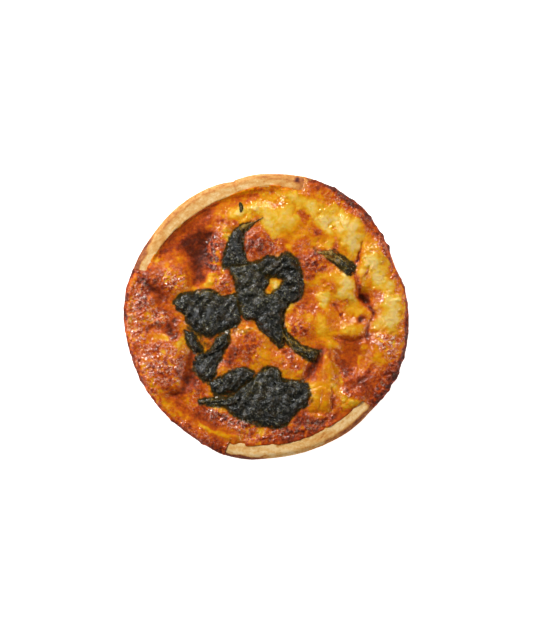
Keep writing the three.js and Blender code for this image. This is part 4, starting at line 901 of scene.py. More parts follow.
def disc_grid(count):
    """Share of the radius, and direction, of each point of a square grid bent into a disc: the
    square ring at a distance becomes the circle of that radius, and a side a quarter turn."""
    side = np.linspace(-1, 1, count)
    across, up = np.meshgrid(side, side)
    is_wide = np.abs(across) >= np.abs(up)
    longer = np.where(is_wide, across, up)
    shorter = np.where(is_wide, up, across)
    eighth = 45 * shorter / np.where(longer == 0, 1, longer)
    turn = np.where(is_wide, eighth, 90 - eighth) + np.where(longer < 0, 180, 0)
    return np.abs(longer), turn % 360


# %% How the crust ends beside a bare stretch
# direction, side, reach in degrees, how much of the crust's thickness is gone there
THIN_ENDS = [(77, -1, 4, 1.7), (161, 1, 3, 0.95), (253.2, -1, 4, 1.0), (320, 1, 5, 0.95)]
CLIMB_TO, CLIMB_OVER = 0.02, 0.45  # level of the climbing custard against the case, and over it
CLIMB_REACH = 3.2


def thinness(direction):
    """Thickness that is gone: all of it at each end of a bare stretch and past it, fading away
    from it as exp(-(turn / reach)^2)."""
    gone = np.zeros_like(direction)
    for at, side, reach, amount in THIN_ENDS:
        away = side * turn_between(at, direction)
        share = np.where(np.abs(away) < 30, np.exp(-(np.maximum(away, 0) / reach) ** 2), 0)
        gone = np.maximum(gone, amount * share)
    return gone


def edge_shaping(radius, direction):
    """What is added to the top near the rim: the crust thins out towards a bare stretch, and in
    it the custard climbs from its sunken level, against the case or over the rim's inner side."""
    inner = inner_radius(direction)
    thinned = -thinness(direction) * smooth(radius, inner - 1, inner + 1.5)
    level = edge_level(direction)
    target = blend(CLIMB_TO, CLIMB_OVER, smooth(swelling(CRUST_OVERLAPS, direction), 0.1, 0.5))
    climb = np.maximum(target - level, 0) * np.exp(-np.maximum(inner + 0.1 - radius, 0) / CLIMB_REACH)
    return thinned * smooth(level, -0.6, 0.3) + climb


# %% The grid bent to the crust's edge
share, spoke = disc_grid(TOP_GRID)
edge = crust_edge(spoke)
top_radius = share * blend(RIM_RADIUS, edge, smooth(share, 0.84, 1))
top_x = top_radius * np.cos(np.radians(spoke))
top_y = top_radius * np.sin(np.radians(spoke))
print(f"filling grid {TOP_GRID} x {TOP_GRID}, faces about {2 * RIM_RADIUS / TOP_GRID * 0.89:.2f} mm")

# %% Skin, rolled edge, rubbed place, and shred with juice stain and painted shade beside the leaves
EDGE_ROUND = 0.7
RUBBED_FROM, RUBBED_TO = (66, 77), (100, 90)  # directions where the crust starts and stops being rubbed
RUBBED_RADII = (49.8, 51.4)
SHRED = (-10.1, 42, 0.75, 1.95, 0.75)  # a shred of leaf stuck in the custard: place, halves, rise

rough_top = blistered(top_x, top_y)
top_z = fine_top(top_x, top_y, rough_top)
brown_and_shade_top = doneness(top_x, top_y, rough_top)

to_edge = edge - top_radius
wet_top = wetness(top_x, top_y, to_edge, rough_top, brown_and_shade_top)
rolled = np.sqrt(1 - np.clip(1 - to_edge / EDGE_ROUND, 0, 1) ** 2)
lies_over = smooth(edge - inner_radius(spoke), 0.1, 0.8)
roll_depth = EDGE_ROUND * (0.2 + 0.55 * lies_over) * (1 - 0.7 * thinness(spoke))
top_z += edge_shaping(top_radius, spoke) - roll_depth * (1 - rolled)

drift = 7 * wander(top_x, top_y, 3.4, 87, 3)  # degrees by which the rubbed place's border strays
rubbed = (0.8 * smooth(spoke + drift, *RUBBED_FROM) * smooth(spoke, *RUBBED_TO)
          * smooth(top_radius + 0.1 * drift, *RUBBED_RADII))

shred_x, shred_y, shred_half_x, shred_half_y, shred_rise = SHRED
from_shred = np.hypot((top_x - shred_x + 0.5 * wander(top_x, top_y, 1.5, 95)) / shred_half_x,
                      (top_y - shred_y) / shred_half_y)
top_z += shred_rise * np.sqrt(np.clip(1 - from_shred ** 2, 0, 1))
shred_juice_and_shade_top = np.maximum(1.5 * (1 - smooth(from_shred, 0.85, 1.25)), leaf_juice_and_shade(top_x, top_y))
print(f"filling's top from {top_z.min():.1f} to {top_z.max():.1f} mm high")

# %% The filling as one closed piece
PLUG_GAP = 0.3  # between the filling and the case
PLUG_DROP = 3.2  # least drop from the rim to the top of the upright side
LIP_INSET, LIP_SINK = 0.35, 0.05  # how far the crust's underside stays in, and is let into the rim
LEAST_CRUST = 0.3
BASE_DONENESS = 0.3


def rim_walk(rows, columns):
    """Grid indices round the border of a grid of points, anticlockwise from one corner."""
    index = np.arange(rows * columns).reshape(rows, columns)
    return np.concatenate([index[0, :-1], index[:-1, -1], index[-1, :0:-1], index[:0:-1, 0]])


def grid_quads(rows, columns):
    """Faces of a grid of points, pointing up where columns run along +X and rows along +Y."""
    index = np.arange(rows * columns).reshape(rows, columns)
    corners = [index[:-1, :-1], index[:-1, 1:], index[1:, 1:], index[1:, :-1]]
    return np.stack(corners, axis=2).reshape(-1, 4)


def ring_points(radius, height, direction):
    """Points at a radius and height in each direction."""
    angle = np.radians(direction)
    return np.stack([radius * np.cos(angle), radius * np.sin(angle), height], axis=1)


border = rim_walk(TOP_GRID, TOP_GRID)
border_spoke = spoke.ravel()[border]
border_edge = edge.ravel()[border]
plug = inner_radius(border_spoke) - PLUG_GAP
lip_out = np.maximum(border_edge - LIP_INSET, plug)
lip_z = np.minimum(rim_top(lip_out, border_spoke) - LIP_SINK, top_z.ravel()[border] - LEAST_CRUST)
every = np.ones_like(plug)
lower_rings = [
    ((FLOOR_RADIUS - PLUG_GAP) * every, (FLOOR + PLUG_GAP) * every),
    (plug, (CASE_HEIGHT - INNER_LIP) * every),
    (plug, np.minimum(lip_z, CASE_HEIGHT - PLUG_DROP)),
    (lip_out, lip_z),
]

top_points = np.stack([top_x, top_y, top_z], axis=2).reshape(-1, 3)
rings = [ring_points(radius, height, border_spoke) for radius, height in lower_rings]
base_centre = np.array([[0, 0, FLOOR + PLUG_GAP]])
filling_points = np.concatenate([top_points, *rings, base_centre])
ring_index = [len(top_points) + k * len(border) + np.arange(len(border)) for k in range(len(rings))]
ring_index.append(border)
filling_quads = np.concatenate([
    grid_quads(TOP_GRID, TOP_GRID), *(ring_faces(a, b) for a, b in zip(ring_index, ring_index[1:]))])


def with_hidden(values):
    """Values of the top's points, followed by zeros for the hidden points below."""
    return np.concatenate([values.ravel(), np.zeros(len(filling_points) - len(top_points))])


browned = brown_and_shade_top.ravel()  # each ring below the border is as brown as the border
filling = make_piece(
    "filling", filling_points,
    [filling_quads, fan_faces(len(filling_points) - 1, ring_index[0], upwards=False)],
    {"doneness": np.concatenate([browned, np.tile(browned[border], len(rings)), [BASE_DONENESS]]),
     "blistered": with_hidden(rough_top), "rubbed": with_hidden(rubbed),
     "shred": with_hidden(shred_juice_and_shade_top), "wet": with_hidden(wet_top)},
    "custard_filling")

# %% [markdown]
# ## The pastry case
#
# The case is a profile turned about the upright axis, with each point of the profile moved out
# by the swellings. Rolled dough has no sharp corner, so each corner of the profile is cut by a
# short curve. Where the two ends of the dough were lapped, one end stands a little further out.

# %% The profile, corner by corner
# radius, height, how much of the corner the curve cuts off, length of the faces up to this corner
CASE_CORNERS = [
    (0, 0, 0, 0), (BASE_RADIUS, 0, 2.4, 4), (RIM_RADIUS, CASE_HEIGHT - SHOULDER_DROP, 0.9, 0.62),
    (RIM_RADIUS - SHOULDER, CASE_HEIGHT, 0.8, 0.3), (INNER_RADIUS, CASE_HEIGHT, 0.55, 0.3),
    (INNER_RADIUS, CASE_HEIGHT - INNER_LIP, 0.5, 0.6), (FLOOR_RADIUS, FLOOR, 0.5, 6), (0, FLOOR, 0, 10),
]
CORNER_STEPS = 5


def rounded_profile(corners):
    """Points along straight stretches, with each corner replaced by the curve
    (1-t)^2 before + 2t(1-t) corner + t^2 after."""
    spots = [np.array(corner[:2], float) for corner in corners]
    path = [spots[0]]
    for k in range(1, len(corners)):
        cut, face = corners[k][2:]
        inwards = (spots[k] - spots[k - 1]) / np.linalg.norm(spots[k] - spots[k - 1])
        before = spots[k] - cut * inwards
        count = max(1, math.ceil(np.linalg.norm(before - path[-1]) / face))
        start = path[-1]
        path += [start + (before - start) * step / count for step in range(1, count + 1)]
        if cut:
            onwards = (spots[k + 1] - spots[k]) / np.linalg.norm(spots[k + 1] - spots[k])
            after = spots[k] + cut * onwards
            t = np.linspace(0, 1, CORNER_STEPS + 1)[1:, None]
            path += list((1 - t) ** 2 * before + 2 * t * (1 - t) * spots[k] + t ** 2 * after)
    return np.array(path)


profile = rounded_profile(CASE_CORNERS)
profile_radius, profile_height = profile[1:-1].T  # the two ends are single points on the axis
print(f"case profile: {len(profile)} points")

# %% The profile carried round, and moved out by the swellings
CASE_SPOKES = 900

case_turn = np.arange(CASE_SPOKES) * 360 / CASE_SPOKES
direction, radius = np.meshgrid(case_turn, profile_radius)
height = np.repeat(profile_height[:, None], CASE_SPOKES, axis=1)

turning_in = np.argmax(profile_height >= CASE_HEIGHT - 1e-6)
past_rim = (np.arange(len(profile_radius)) >= turning_in)[:, None]
is_inner = past_rim & (radius < INNER_RADIUS + 0.6)
inner_share = np.clip((height - FLOOR) / (CASE_HEIGHT - INNER_LIP - FLOOR), 0, 1)
outer_share = np.clip(height / (CASE_HEIGHT - SHOULDER_DROP), 0, 1)
on_rim = past_rim & (height > CASE_HEIGHT - SHOULDER_DROP)
inwards = 1 - smooth(radius, INNER_RADIUS, RIM_RADIUS - SHOULDER)  # from 0 at the shoulder to 1
radius = radius + blend(outer_share * swelling(OUTER_SWELLINGS, direction),
                        inner_share * swelling(INNER_SWELLINGS, direction),
                        np.where(on_rim, inwards, np.where(is_inner, 1.0, 0.0)))
print(f"case {radius.max():.1f} mm at its widest from the middle")

# %% Dents, the lap and crumbs
LAP_AT = 103.4  # direction of the radial lap in the dough
LAP_FADE = (2, 16)  # degrees past the lap over which its upper layer sinks into the rim
LAP_STEP, LAP_THICKNESS, LAP_GROOVE = 0.42, 0.28, 0.3  # out, up, and the depth of the groove beside it

angle = np.radians(direction)
arc = RIM_RADIUS * angle  # way round the case, in millimetres
seamless_x, seamless_y = np.cos(angle) * RIM_RADIUS, np.sin(angle) * RIM_RADIUS
past_lap = turn_between(direction, LAP_AT)  # positive clockwise of the lap
lapped = smooth(past_lap, -0.25, 0.25) * (1 - smooth(past_lap, *LAP_FADE))
rim_part = smooth(height, CASE_HEIGHT - 5, CASE_HEIGHT - 1)
dents = (0.16 * wander(seamless_x, seamless_y + 3 * height, 6, 101, 3)
         + 0.07 * wander(seamless_x + 5 * height, seamless_y - 4 * height, 1.6, 111, 2))
radius = radius + np.where(radius > 8, dents * smooth(height, 0, 3) + lapped * LAP_STEP * rim_part, 0)
plan_x, plan_y = radius * np.cos(angle), radius * np.sin(angle)
crumb = 0.1 * wander(plan_x, plan_y, 2.6, 121, 3) + 0.05 * creased(plan_x, plan_y, 1.1, 131)
groove = LAP_GROOVE * np.exp(-((past_lap + 0.15) / 0.35) ** 2) * smooth(radius, 46, 48)
raised = (crumb + LAP_THICKNESS * lapped - groove) * smooth(height, CASE_HEIGHT - 3, CASE_HEIGHT - 0.3)
height = height + raised
print(f"rim raised by {raised.min():.2f} to {raised.max():.2f} mm")

# %% How toasted the pastry is
LIGHT = 0.1  # toasting before any stroke
# path, half a width, toasting
TOAST_STROKES = [
    ([(10, 53)], 3, 0.42), ([(12, 52.5)], 1.2, 1), ([(15.2, 52.8)], 1, 0.8), ([(-23.8, 47)], 0.8, 0.5),
    ([(-35.5, 39.5)], 0.8, 0.45), ([(-1, 52), (5, 53.6)], 0.6, 0.34), ([(4, 50.6), (10, 51)], 1, 0.3),
    ([(-27.5, 46)], 0.5, 0.5), ([(-18, 49.4), (-14, 50.4)], 0.5, 0.4), ([(-42, 34)], 0.6, 0.4),
    ([(-7, -50), (-4, -49.4)], 0.7, 0.3), ([(4, -50.4), (5, -49.6)], 0.5, 0.5),
    ([(21, -47), (22, -45.6)], 0.35, 0.45), ([(34, -42), (29, -45.6)], 0.8, 0.62),
    ([(38.6, -37.4), (34.6, -41.4)], 0.9, 0.72), ([(27, -46.4), (23, -48.6)], 0.7, 0.46),
    ([(39.8, -33.6)], 1.6, 0.62), ([(40.4, -35.4)], 1.2, 0.7), ([(36.2, -33)], 0.8, 0.42),
]
# directions, radii, toasting, softness of the inner and outer border
TOAST_BANDS = [
    ((104, 150), (47, 52.6), 0.19, 0.6), ((152, 162), (48, 52.2), 0.03, 0.6),
    ((76, 164), (52.3, 60), 0.3, 0.5), ((58, 78), (48, 60), 0.54, 1.0),
    ((104, 142), (52.4, 52.9), 0.42, 0.35), ((86, 95), (53.6, 54.3), 0.46, 0.4),
    ((145, 166), (53.6, 60), 0.76, 0.4), ((153, 168), (52.4, 60), 0.76, 0.4),
    ((282, 302), (53.6, 60), 0.26, 0.6), ((299, 330), (52.8, 60), 0.6, 0.5),
    ((250, 269), (53.3, 60), 0.84, 0.3), ((284, 300), (49, 54), 0.22, 1.0),
]
BARE_TURNS = [(70, 164), (250, 324)]  # directions where no custard ran down the wall
STREAK_LENGTH, STREAK_WIDTH, STREAK_SHARE = 2.6, 0.7, 0.22  # marks of pressing, round the rim
WALL_FOOT, WALL_TOP = 0.52, 0.3  # toasting down the wall
RUN_OVER = 0.82  # toasting of the browned custard that ran over the wall's top

noise_x = plan_x + 0.7 * wander(plan_x, plan_y, 3, 141, 2)
noise_y = plan_y + 0.7 * wander(plan_x, plan_y, 3, 151, 2)
toasted = np.full_like(plan_x, LIGHT) + 0.05 * wander(plan_x, plan_y, 5, 161, 2)
toasted = paint_band(toasted, np.hypot(noise_x, noise_y) - swelling(OUTER_SWELLINGS, direction),
                     direction, TOAST_BANDS)
toasted = paint(toasted, noise_x, noise_y, TOAST_STROKES)
toasted += 0.14 * np.exp(-((past_lap + 0.2) / 0.4) ** 2)
toasted += (STREAK_SHARE * wander(arc / STREAK_LENGTH, radius / STREAK_WIDTH, 1, 165, 3)
            * smooth(height, CASE_HEIGHT - 2.5, CASE_HEIGHT - 1))
down_wall = 1 - smooth(height, CASE_HEIGHT - 3.5, CASE_HEIGHT - 0.8)
wall_coat = (blend(WALL_FOOT, WALL_TOP, smooth(height, 0, CASE_HEIGHT))
             + 0.14 * wander(seamless_x, seamless_y + 2 * height, 9, 171, 3)
             + 0.05 * wander(seamless_x + 4 * height, seamless_y, 1.5, 181, 2))
outside = np.where(is_inner, 0, 1)
toasted = blend(toasted, wall_coat, down_wall * outside)
covered = np.ones_like(case_turn)
for start, end in BARE_TURNS:
    inside = np.minimum(smooth(turn_between(start, case_turn), -3, 3),
                        smooth(turn_between(case_turn, end), -3, 3))
    covered = covered * (1 - inside)
uneven_height = height + 1.6 * wander(seamless_x, seamless_y, 4, 191, 2)
drip = smooth(uneven_height, CASE_HEIGHT - 5.5, CASE_HEIGHT - 2)
toasted = blend(toasted, RUN_OVER, covered[None, :] * drip * outside)

# %% The case as one closed piece
case_points = np.stack([plan_x, plan_y, height], axis=2).reshape(-1, 3)
case_rings = np.arange(height.size).reshape(height.shape)
case_quads = np.concatenate([ring_faces(a, b) for a, b in zip(case_rings, case_rings[1:])])
under_centre = len(case_points)
case_points = np.concatenate([case_points, [[0, 0, 0], [0, 0, FLOOR]]])
case = make_piece(
    "pastry", case_points,
    [case_quads, fan_faces(under_centre, case_rings[0], upwards=False),
     fan_faces(under_centre + 1, case_rings[-1], upwards=True)],
    {"toasted": np.concatenate([np.clip(toasted, 0, 1).ravel(), [0.5, 0.3]])},
    "pastry_case")

# %% [markdown]
# ## The spinach
#
# A wilted leaf is a wet, crumpled skin. Each is a sheet stretched between its two edge curves:
# going along, `u` runs from 0 to 1, going across, `v` does. It rests on the custard, rises in its
# middle, and its face is folded by large waves, pleats and fine wrinkles. The pleats run out like
# the ribs of a fan from a point near where the leaf was gathered. Its edges are torn, and drawn
# down to the custard, so that it looks stuck.

# %% Where a leaf is olive, veiled or has a painted sheen
# places bleached to olive, and places that stay black: path, half a width, share of olive
OLIVE_STROKES = [
    ([(-8, 16), (0, 10), (8, 18)], 9, 0.47), ([(-24, 4), (-18, 2)], 8, 0.42),
    ([(2, -22), (-3, -26), (-8, -31)], 2.4, 0.75), ([(-2, -21), (4, -21)], 1.6, 0.6),
    ([(-14, -33), (-24, -33.4)], 1.4, 0.5), ([(12, -26), (16, -29)], 1.4, 0.45),
    ([(4, -36), (8, -33)], 5, 0.05), ([(6, -9), (10, -11), (20, -15.6)], 2.8, 0.95),
    ([(3, -6), (6, -12)], 2, 0.45), ([(19, 25), (27.4, 22)], 2.6, 1.2),
    ([(27.6, 21), (31, 19.2)], 2, 0.85), ([(32.6, 17.4)], 1.6, 0.15), ([(-9, 8), (-8, 2)], 2.4, 0.4),
    ([(-4, 17), (2, 19)], 2, 0.55), ([(8, 18), (11, 12)], 3, 0.12), ([(-26, 7.6), (-20, 8)], 2, 0.6),
    ([(-25, 1), (-23, -5)], 1.4, 0.55), ([(-17, 1), (-14, -2)], 3, 0.05),
    ([(-31, 3), (-28, 0)], 3, 0.1), ([(-18, -9), (-17, -14)], 2, 0.5),
    ([(-24, -18), (-24, -23)], 2.4, 0.25), ([(-10, 33.6), (-4, 36)], 1.7, 1.0),
    ([(-12, 24), (-13, 29)], 2.6, 0.12), ([(-14, -26), (-9, -23)], 2, 0.35),
]
# torn veils: path, half a width, laciness
VEIL_STROKES = [([(19.4, 24.8), (26, 23)], 1.9, 0.68), ([(28.2, 24.9), (34.4, 20.6)], 1.7, 0.8)]
# folds with a painted grey sheen: path, half a width, sheen
PAINTED_SHEEN_STROKES = [
    ([(-29.5, 3), (-26, -1)], 2, 0.9), ([(-22, 2), (-22, -1)], 1.2, 0.8),
    ([(-19.5, 3.4), (-17.6, 1.4)], 1.6, 0.8), ([(-20.5, -5), (-12, 2)], 1.4, 0.8),
    ([(-30, -7), (-28, -12)], 1.4, 0.6), ([(-25, -17), (-25.4, -21)], 2, 0.7),
    ([(-19, -25), (-14, -26)], 2, 0.4), ([(-7, -35), (7, -35.4)], 5, -0.3),
    ([(12, -28), (14, -33)], 3, -0.2), ([(0.6, -30.5), (4, -31.4)], 1.6, 0.5),
    ([(-4, -36.4), (-1, -37.4)], 1.4, 0.3), ([(-2.4, -24.4), (1, -25.8)], 1.5, 0.9),
    ([(-6, -22)], 1.2, 0.8), ([(-2, -8), (2, -6)], 2.4, 0.5), ([(4, 23), (6, 20)], 2, 0.6),
    ([(-10, 22), (-12, 27)], 1.6, 0.5), ([(8, 9), (10, 12)], 2, 0.5), ([(-4, 5), (-6, 2)], 2, 0.5),
    ([(31, 19)], 1.4, 0.4),
]
print(f"{len(OLIVE_STROKES)} strokes of olive, {len(PAINTED_SHEEN_STROKES)} of bloom")

# %% Ridges, pleats and the surface that a leaf rests on
LEAF_REST = 0.35  # how far above the custard's plain top a leaf rests
BRIDGE = 1  # how far a leaf spans a dip instead of following it
PLEAT_RADIUS = 11  # distance from the fan's point at which pleats have their named width
PLEAT, SMALL_PLEAT, PUCKER = 0.75, 0.4, 0.3
MEAN_RIDGE = 0.65  # about the mean of a pattern of ridges, taken off so that pleats lift no leaf


def ridged(x, y, size, seed):
    """Thin winding ridges, 1 along their crests, with broad hollows between: 1 - |wander|."""
    return 1 - np.abs(wander(x, y, size, seed))


def resting_height(x, y):
    """The highest of the plain top within a millimetre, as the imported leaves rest."""
    around = np.radians([0, 60, 120, 180, 240, 300])
    heights = [plain_top(x + BRIDGE * math.cos(a), y + BRIDGE * math.sin(a)) for a in around]
    return np.maximum.reduce([plain_top(x, y), *heights]) + LEAF_REST


def pleated(x, y, fan, seed):
    """Height and hollowness of pleats along the ribs of a fan. Distance out and arc take the
    place of x and y, so that each ridge runs outwards and is about three times as long as wide."""
    bent_x, bent_y = x + 1.1 * wander(x, y, 4, seed + 9, 3), y + 1.1 * wander(x, y, 4, seed + 13, 3)
    out = np.hypot(bent_x - fan[0], bent_y - fan[1])
    arc = np.arctan2(bent_y - fan[1], bent_x - fan[0]) * PLEAT_RADIUS
    large = ridged(out / 2.6, arc, 3.0, seed + 17)
    small = ridged(out / 1.8, arc, 1.5, seed + 23)
    puckers = ridged(bent_x, bent_y, 1.1, seed + 27)
    height = PLEAT * large + SMALL_PLEAT * small + PUCKER * puckers
    return height - MEAN_RIDGE * (PLEAT + SMALL_PLEAT + PUCKER), 1 - large * small


# %% The plan, the faces and the colouring of one sheet
LEAF_FACE = 0.27  # size of a sheet's faces
TORN_EDGE = 1.0  # how far the torn edge stands out or draws in
TORN_WIDTH = 3  # narrower parts of a sheet are torn less
PLAIN_OLIVE = 0.25


def sheet_plan(one, other, seed):
    """The sheet's u and v, its plan position, its width at each u and its length. The plan is the
    straight line across between the two edges, whose ends are torn."""
    length = max(edge_curve(side, np.array([1.0]))[1] for side in (one, other))
    u = np.linspace(0, 1, math.ceil(length / LEAF_FACE) + 1)
    first, second = edge_curve(one, u)[0], edge_curve(other, u)[0]
    widths = np.linalg.norm(first - second, axis=1)
    along, across = np.meshgrid(u, np.linspace(0, 1, math.ceil(widths.max() / LEAF_FACE) + 1))
    x = blend(first[:, 0], second[:, 0], across)
    y = blend(first[:, 1], second[:, 1], across)
    outward = ((first - second) / np.maximum(widths, 1e-6)[:, None]
               * np.minimum(widths / TORN_WIDTH, 1)[:, None])
    torn = (TORN_EDGE * (wander(x, y, 1.7, seed, 3) + 0.25)
            * np.abs(2 * across - 1) ** 3 * np.sign(0.5 - across))
    return along, across, x + torn * outward[:, 0], y + torn * outward[:, 1], widths, length


def sheet_faces(x, y):
    """Faces of a closed sheet whose upper points come first: both sides, and a band round the
    border. They are turned over where v runs to the right of u, as the sign of the sheet's area in
    plan tells, the sum of (step along) x (step across)."""
    upper, border = grid_quads(*x.shape), rim_walk(*x.shape)
    faces = np.concatenate([upper, upper[:, ::-1] + x.size, ring_faces(border + x.size, border)])
    area = np.sum(np.diff(x, axis=1)[:-1] * np.diff(y, axis=0)[:, :-1]
                  - np.diff(y, axis=1)[:-1] * np.diff(x, axis=0)[:, :-1])
    return faces if area > 0 else faces[:, ::-1]


def sheet_maps(x, y, inward, widths, hollow, seed):
    """Thinness towards the border, laciness where a thin part is wide or a veil is torn, the depth
    of creases, which the finish paints as shade in them and as sheen on the crests between, and the
    painted shares of olive and of grey sheen."""
    thin = 1 - smooth(inward + 0.9 * wander(x, y, 2.2, seed + 31, 2), 0, 1.6)
    veils = paint(np.zeros_like(x), x, y, VEIL_STROKES)
    return {
        "thin": thin, "lacy": np.maximum(thin * smooth(widths, 1.2, 3.4), veils), "crease": hollow,
        "olive": paint(np.full_like(x, PLAIN_OLIVE), *wobbled(x, y), OLIVE_STROKES),
        "bloom": paint(np.zeros_like(x), *wobbled(x, y), PAINTED_SHEEN_STROKES)}


# %% One crumpled sheet
LEAF_MIDDLE, LEAF_EDGE = 0.9, 0.3  # thickness
LEAF_SKIN, LEAF_SUNK = 0.16, 0.25  # how far a border's faces lie above and below the custard
DRAWN_DOWN = 2.4  # distance from the border over which a leaf is drawn down to the custard
FOLD_HEIGHT = 0.46
FOLD_SLANT, FOLD_STRAY = 1.5, 0.7  # folds that a wave gains across the sheet, and strays by
ROUND_END = 0.02  # share of the crown's curve left out at each end, so that ends keep some height


def leaf_sheet(one, other, folds, lift, fan, seed):
    """Points of both faces of one sheet, its closed faces, and its attributes. The upper face is
    the resting height + lift + fold * crown + a thickness + pleats, where
    crown = sqrt(sin(pi u) sin(pi v)), and is drawn down to the custard along its border."""
    along, across, x, y, widths, length = sheet_plan(one, other, seed)
    crown = np.sqrt(np.sin(math.pi * blend(ROUND_END, 1 - ROUND_END, along)) * np.sin(math.pi * across))
    phase = folds * along + FOLD_SLANT * across + FOLD_STRAY * wander(x, y, 8, seed + 33, 2)
    fold = FOLD_HEIGHT * (1 + np.sin(2 * math.pi * phase))
    inward = np.minimum(np.minimum(across, 1 - across) * widths, np.minimum(along, 1 - along) * length)
    pleats, hollow = pleated(x, y, fan, seed)
    custard = fine_top(x, y, blistered(x, y))
    upper = resting_height(x, y) + lift + fold * crown + blend(LEAF_EDGE, LEAF_MIDDLE, crown)
    upper += pleats * (0.4 + 0.6 * crown) + 0.12 * wander(x, y, 0.8, seed + 29, 2)
    upper = blend(custard + LEAF_SKIN, upper, np.sqrt(smooth(inward, 0, DRAWN_DOWN)))
    points = np.concatenate([np.stack([x, y, z], axis=2).reshape(-1, 3)
                             for z in (upper, custard - LEAF_SUNK)])
    maps = sheet_maps(x, y, inward, widths, hollow, seed)
    both_sides = {label: np.tile(values.ravel(), 2) for label, values in maps.items()}
    return points, sheet_faces(x, y), both_sides


# %% All the leaves
LEAF_SEED, SEEDS_PER_LEAF, SEEDS_PER_SHEET = 300, 60, 17

leaves = []
for number, (node, sheets) in enumerate(LEAVES.items()):
    points, faces, maps = [], [], []
    for layer, sheet in enumerate(sheets):
        seed = LEAF_SEED + SEEDS_PER_LEAF * number + SEEDS_PER_SHEET * layer
        made, quads, made_maps = leaf_sheet(*sheet, seed)
        faces.append(quads + sum(len(p) for p in points))
        points.append(made)
        maps.append(made_maps)
    leaves.append(make_piece(
        node.replace("spinach", "wilted"), np.concatenate(points), [np.concatenate(faces)],
        {label: np.concatenate([m[label] for m in maps]) for label in maps[0]}, node))

# %% [markdown]
# ## Writing a finish as sums
#
# A finish is a graph of nodes, which is tedious to wire by hand. `Socket` wraps one output, and
# its `+`, `-` and `*` add the Math nodes, so `1 - mask` reads as it looks. `Finish.node`
# adds any other node, with its settings first and then its values or links.

# %% A small language for shaders
class Socket:
    """One output of a node. Sums and products of sockets and numbers add Math nodes."""

    def __init__(self, finish, output):
        self.finish = finish
        self.output = output

    def _math(self, operation, first, second):
        return self.finish.node("ShaderNodeMath", {"operation": operation}, {0: first, 1: second})

    def __add__(self, other):
        return self._math("ADD", self, other)

    def __radd__(self, other):
        return self._math("ADD", other, self)

    def __sub__(self, other):
        return self._math("SUBTRACT", self, other)

    def __rsub__(self, other):
        return self._math("SUBTRACT", other, self)

    def __mul__(self, other):
        return self._math("MULTIPLY", self, other)

    def __rmul__(self, other):
        return self._math("MULTIPLY", other, self)


# %% A finish under construction
class Finish:
    """A material under construction. Each method adds a node, and `surface` ends the work."""

    def __init__(self, name):
        self.material = bpy.data.materials.new(name)
        self.material.use_nodes = True
        self.tree = self.material.node_tree
        self.tree.nodes.clear()
        self.place = self.node("ShaderNodeTexCoord", output="Object")

    def node(self, kind, settings=None, inputs=None, output=0):
        """Adds a node, makes its settings, then sets or links its inputs, and returns an output."""
        made = self.tree.nodes.new(kind)
        for name, value in (settings or {}).items():
            if name == "stops":
                self._set_stops(made.color_ramp, value)
            else:
                setattr(made, name, value)
        for name, value in (inputs or {}).items():
            if isinstance(value, Socket):
                self.tree.links.new(value.output, made.inputs[name])
            else:
                made.inputs[name].default_value = value
        return Socket(self, made.outputs[output]) if made.outputs else None

    @staticmethod
    def _set_stops(ramp, stops):
        """Gives a ramp its positions and colours, adding the elements that it lacks."""
        ramp.interpolation = "LINEAR"
        while len(ramp.elements) < len(stops):
            ramp.elements.new(1)
        for element, (position, colour) in zip(ramp.elements, stops):
            element.position = position
            element.color = colour

    def attribute(self, name):
        """One value per point of the mesh."""
        return self.node("ShaderNodeAttribute", {"attribute_name": name}, output="Fac")

    def noise(self, size, detail=2, roughness=0.5):
        """Soft noise from 0 to 1 whose largest lumps are `size` millimetres."""
        return self.node("ShaderNodeTexNoise", {}, {
            "Vector": self.place, "Scale": 1 / (size * MM), "Detail": detail, "Roughness": roughness})

    def cells(self, size):
        """Distance from 0 up to the nearest of scattered points, `size` millimetres apart."""
        return self.node("ShaderNodeTexVoronoi", {"feature": "F1"}, {
            "Vector": self.place, "Scale": 1 / (size * MM)}, output="Distance")

    def ramp(self, value, stops):
        """A colour for each value, blended between the stops."""
        return self.node("ShaderNodeValToRGB", {"stops": stops}, {"Fac": value})

    def span(self, value, low, high, start=0.0, end=1.0):
        """`start` below `low`, `end` above `high`, an S-curve between."""
        return self.node("ShaderNodeMapRange", {"interpolation_type": "SMOOTHSTEP"}, {
            "Value": value, "From Min": low, "From Max": high, "To Min": start, "To Max": end})

    def mix(self, one, other, share, how="MIX"):
        """Two colours mixed."""
        return self.node("ShaderNodeMix", {"data_type": "RGBA", "blend_type": how},
                         {"Factor": share, 6: one, 7: other}, output=2)

    def bump(self, height, depth):
        """A bumpy normal, `depth` millimetres deep at height 1."""
        return self.node("ShaderNodeBump", {}, {"Height": height, "Distance": depth * MM, "Strength": 1})

    def size_of(self, value):
        """The value without its sign."""
        return self.node("ShaderNodeMath", {"operation": "ABSOLUTE"}, {0: value})

    def shader(self, inputs):
        """One shader that all these values feed."""
        return self.node("ShaderNodeBsdfPrincipled", {}, inputs)

    def either(self, one, other, share):
        """Two shaders mixed, the second where `share` is 1."""
        return self.node("ShaderNodeMixShader", {}, {0: share, 1: one, 2: other})

    def surface(self, shader):
        """The finished material, whose surface is this shader."""
        self.node("ShaderNodeOutputMaterial", {}, {"Surface": shader})
        return self.material


# %% Colours as they look
def paint_colour(red, green, blue):
    """A colour given as it looks on a screen, from 0 to 255, as the linear light that shaders use,
    and opaque: v / 12.92 for a small share v of 255, and ((v + 0.055) / 1.055)^2.4 for others."""
    shares = (red / 255, green / 255, blue / 255)
    return (*(v / 12.92 if v <= 0.04045 else ((v + 0.055) / 1.055) ** 2.4 for v in shares), 1)


LIGHT_REACH = 1  # millimetres that light travels under a skin
print("buttery yellow:", [round(value, 3) for value in paint_colour(228, 180, 50)])

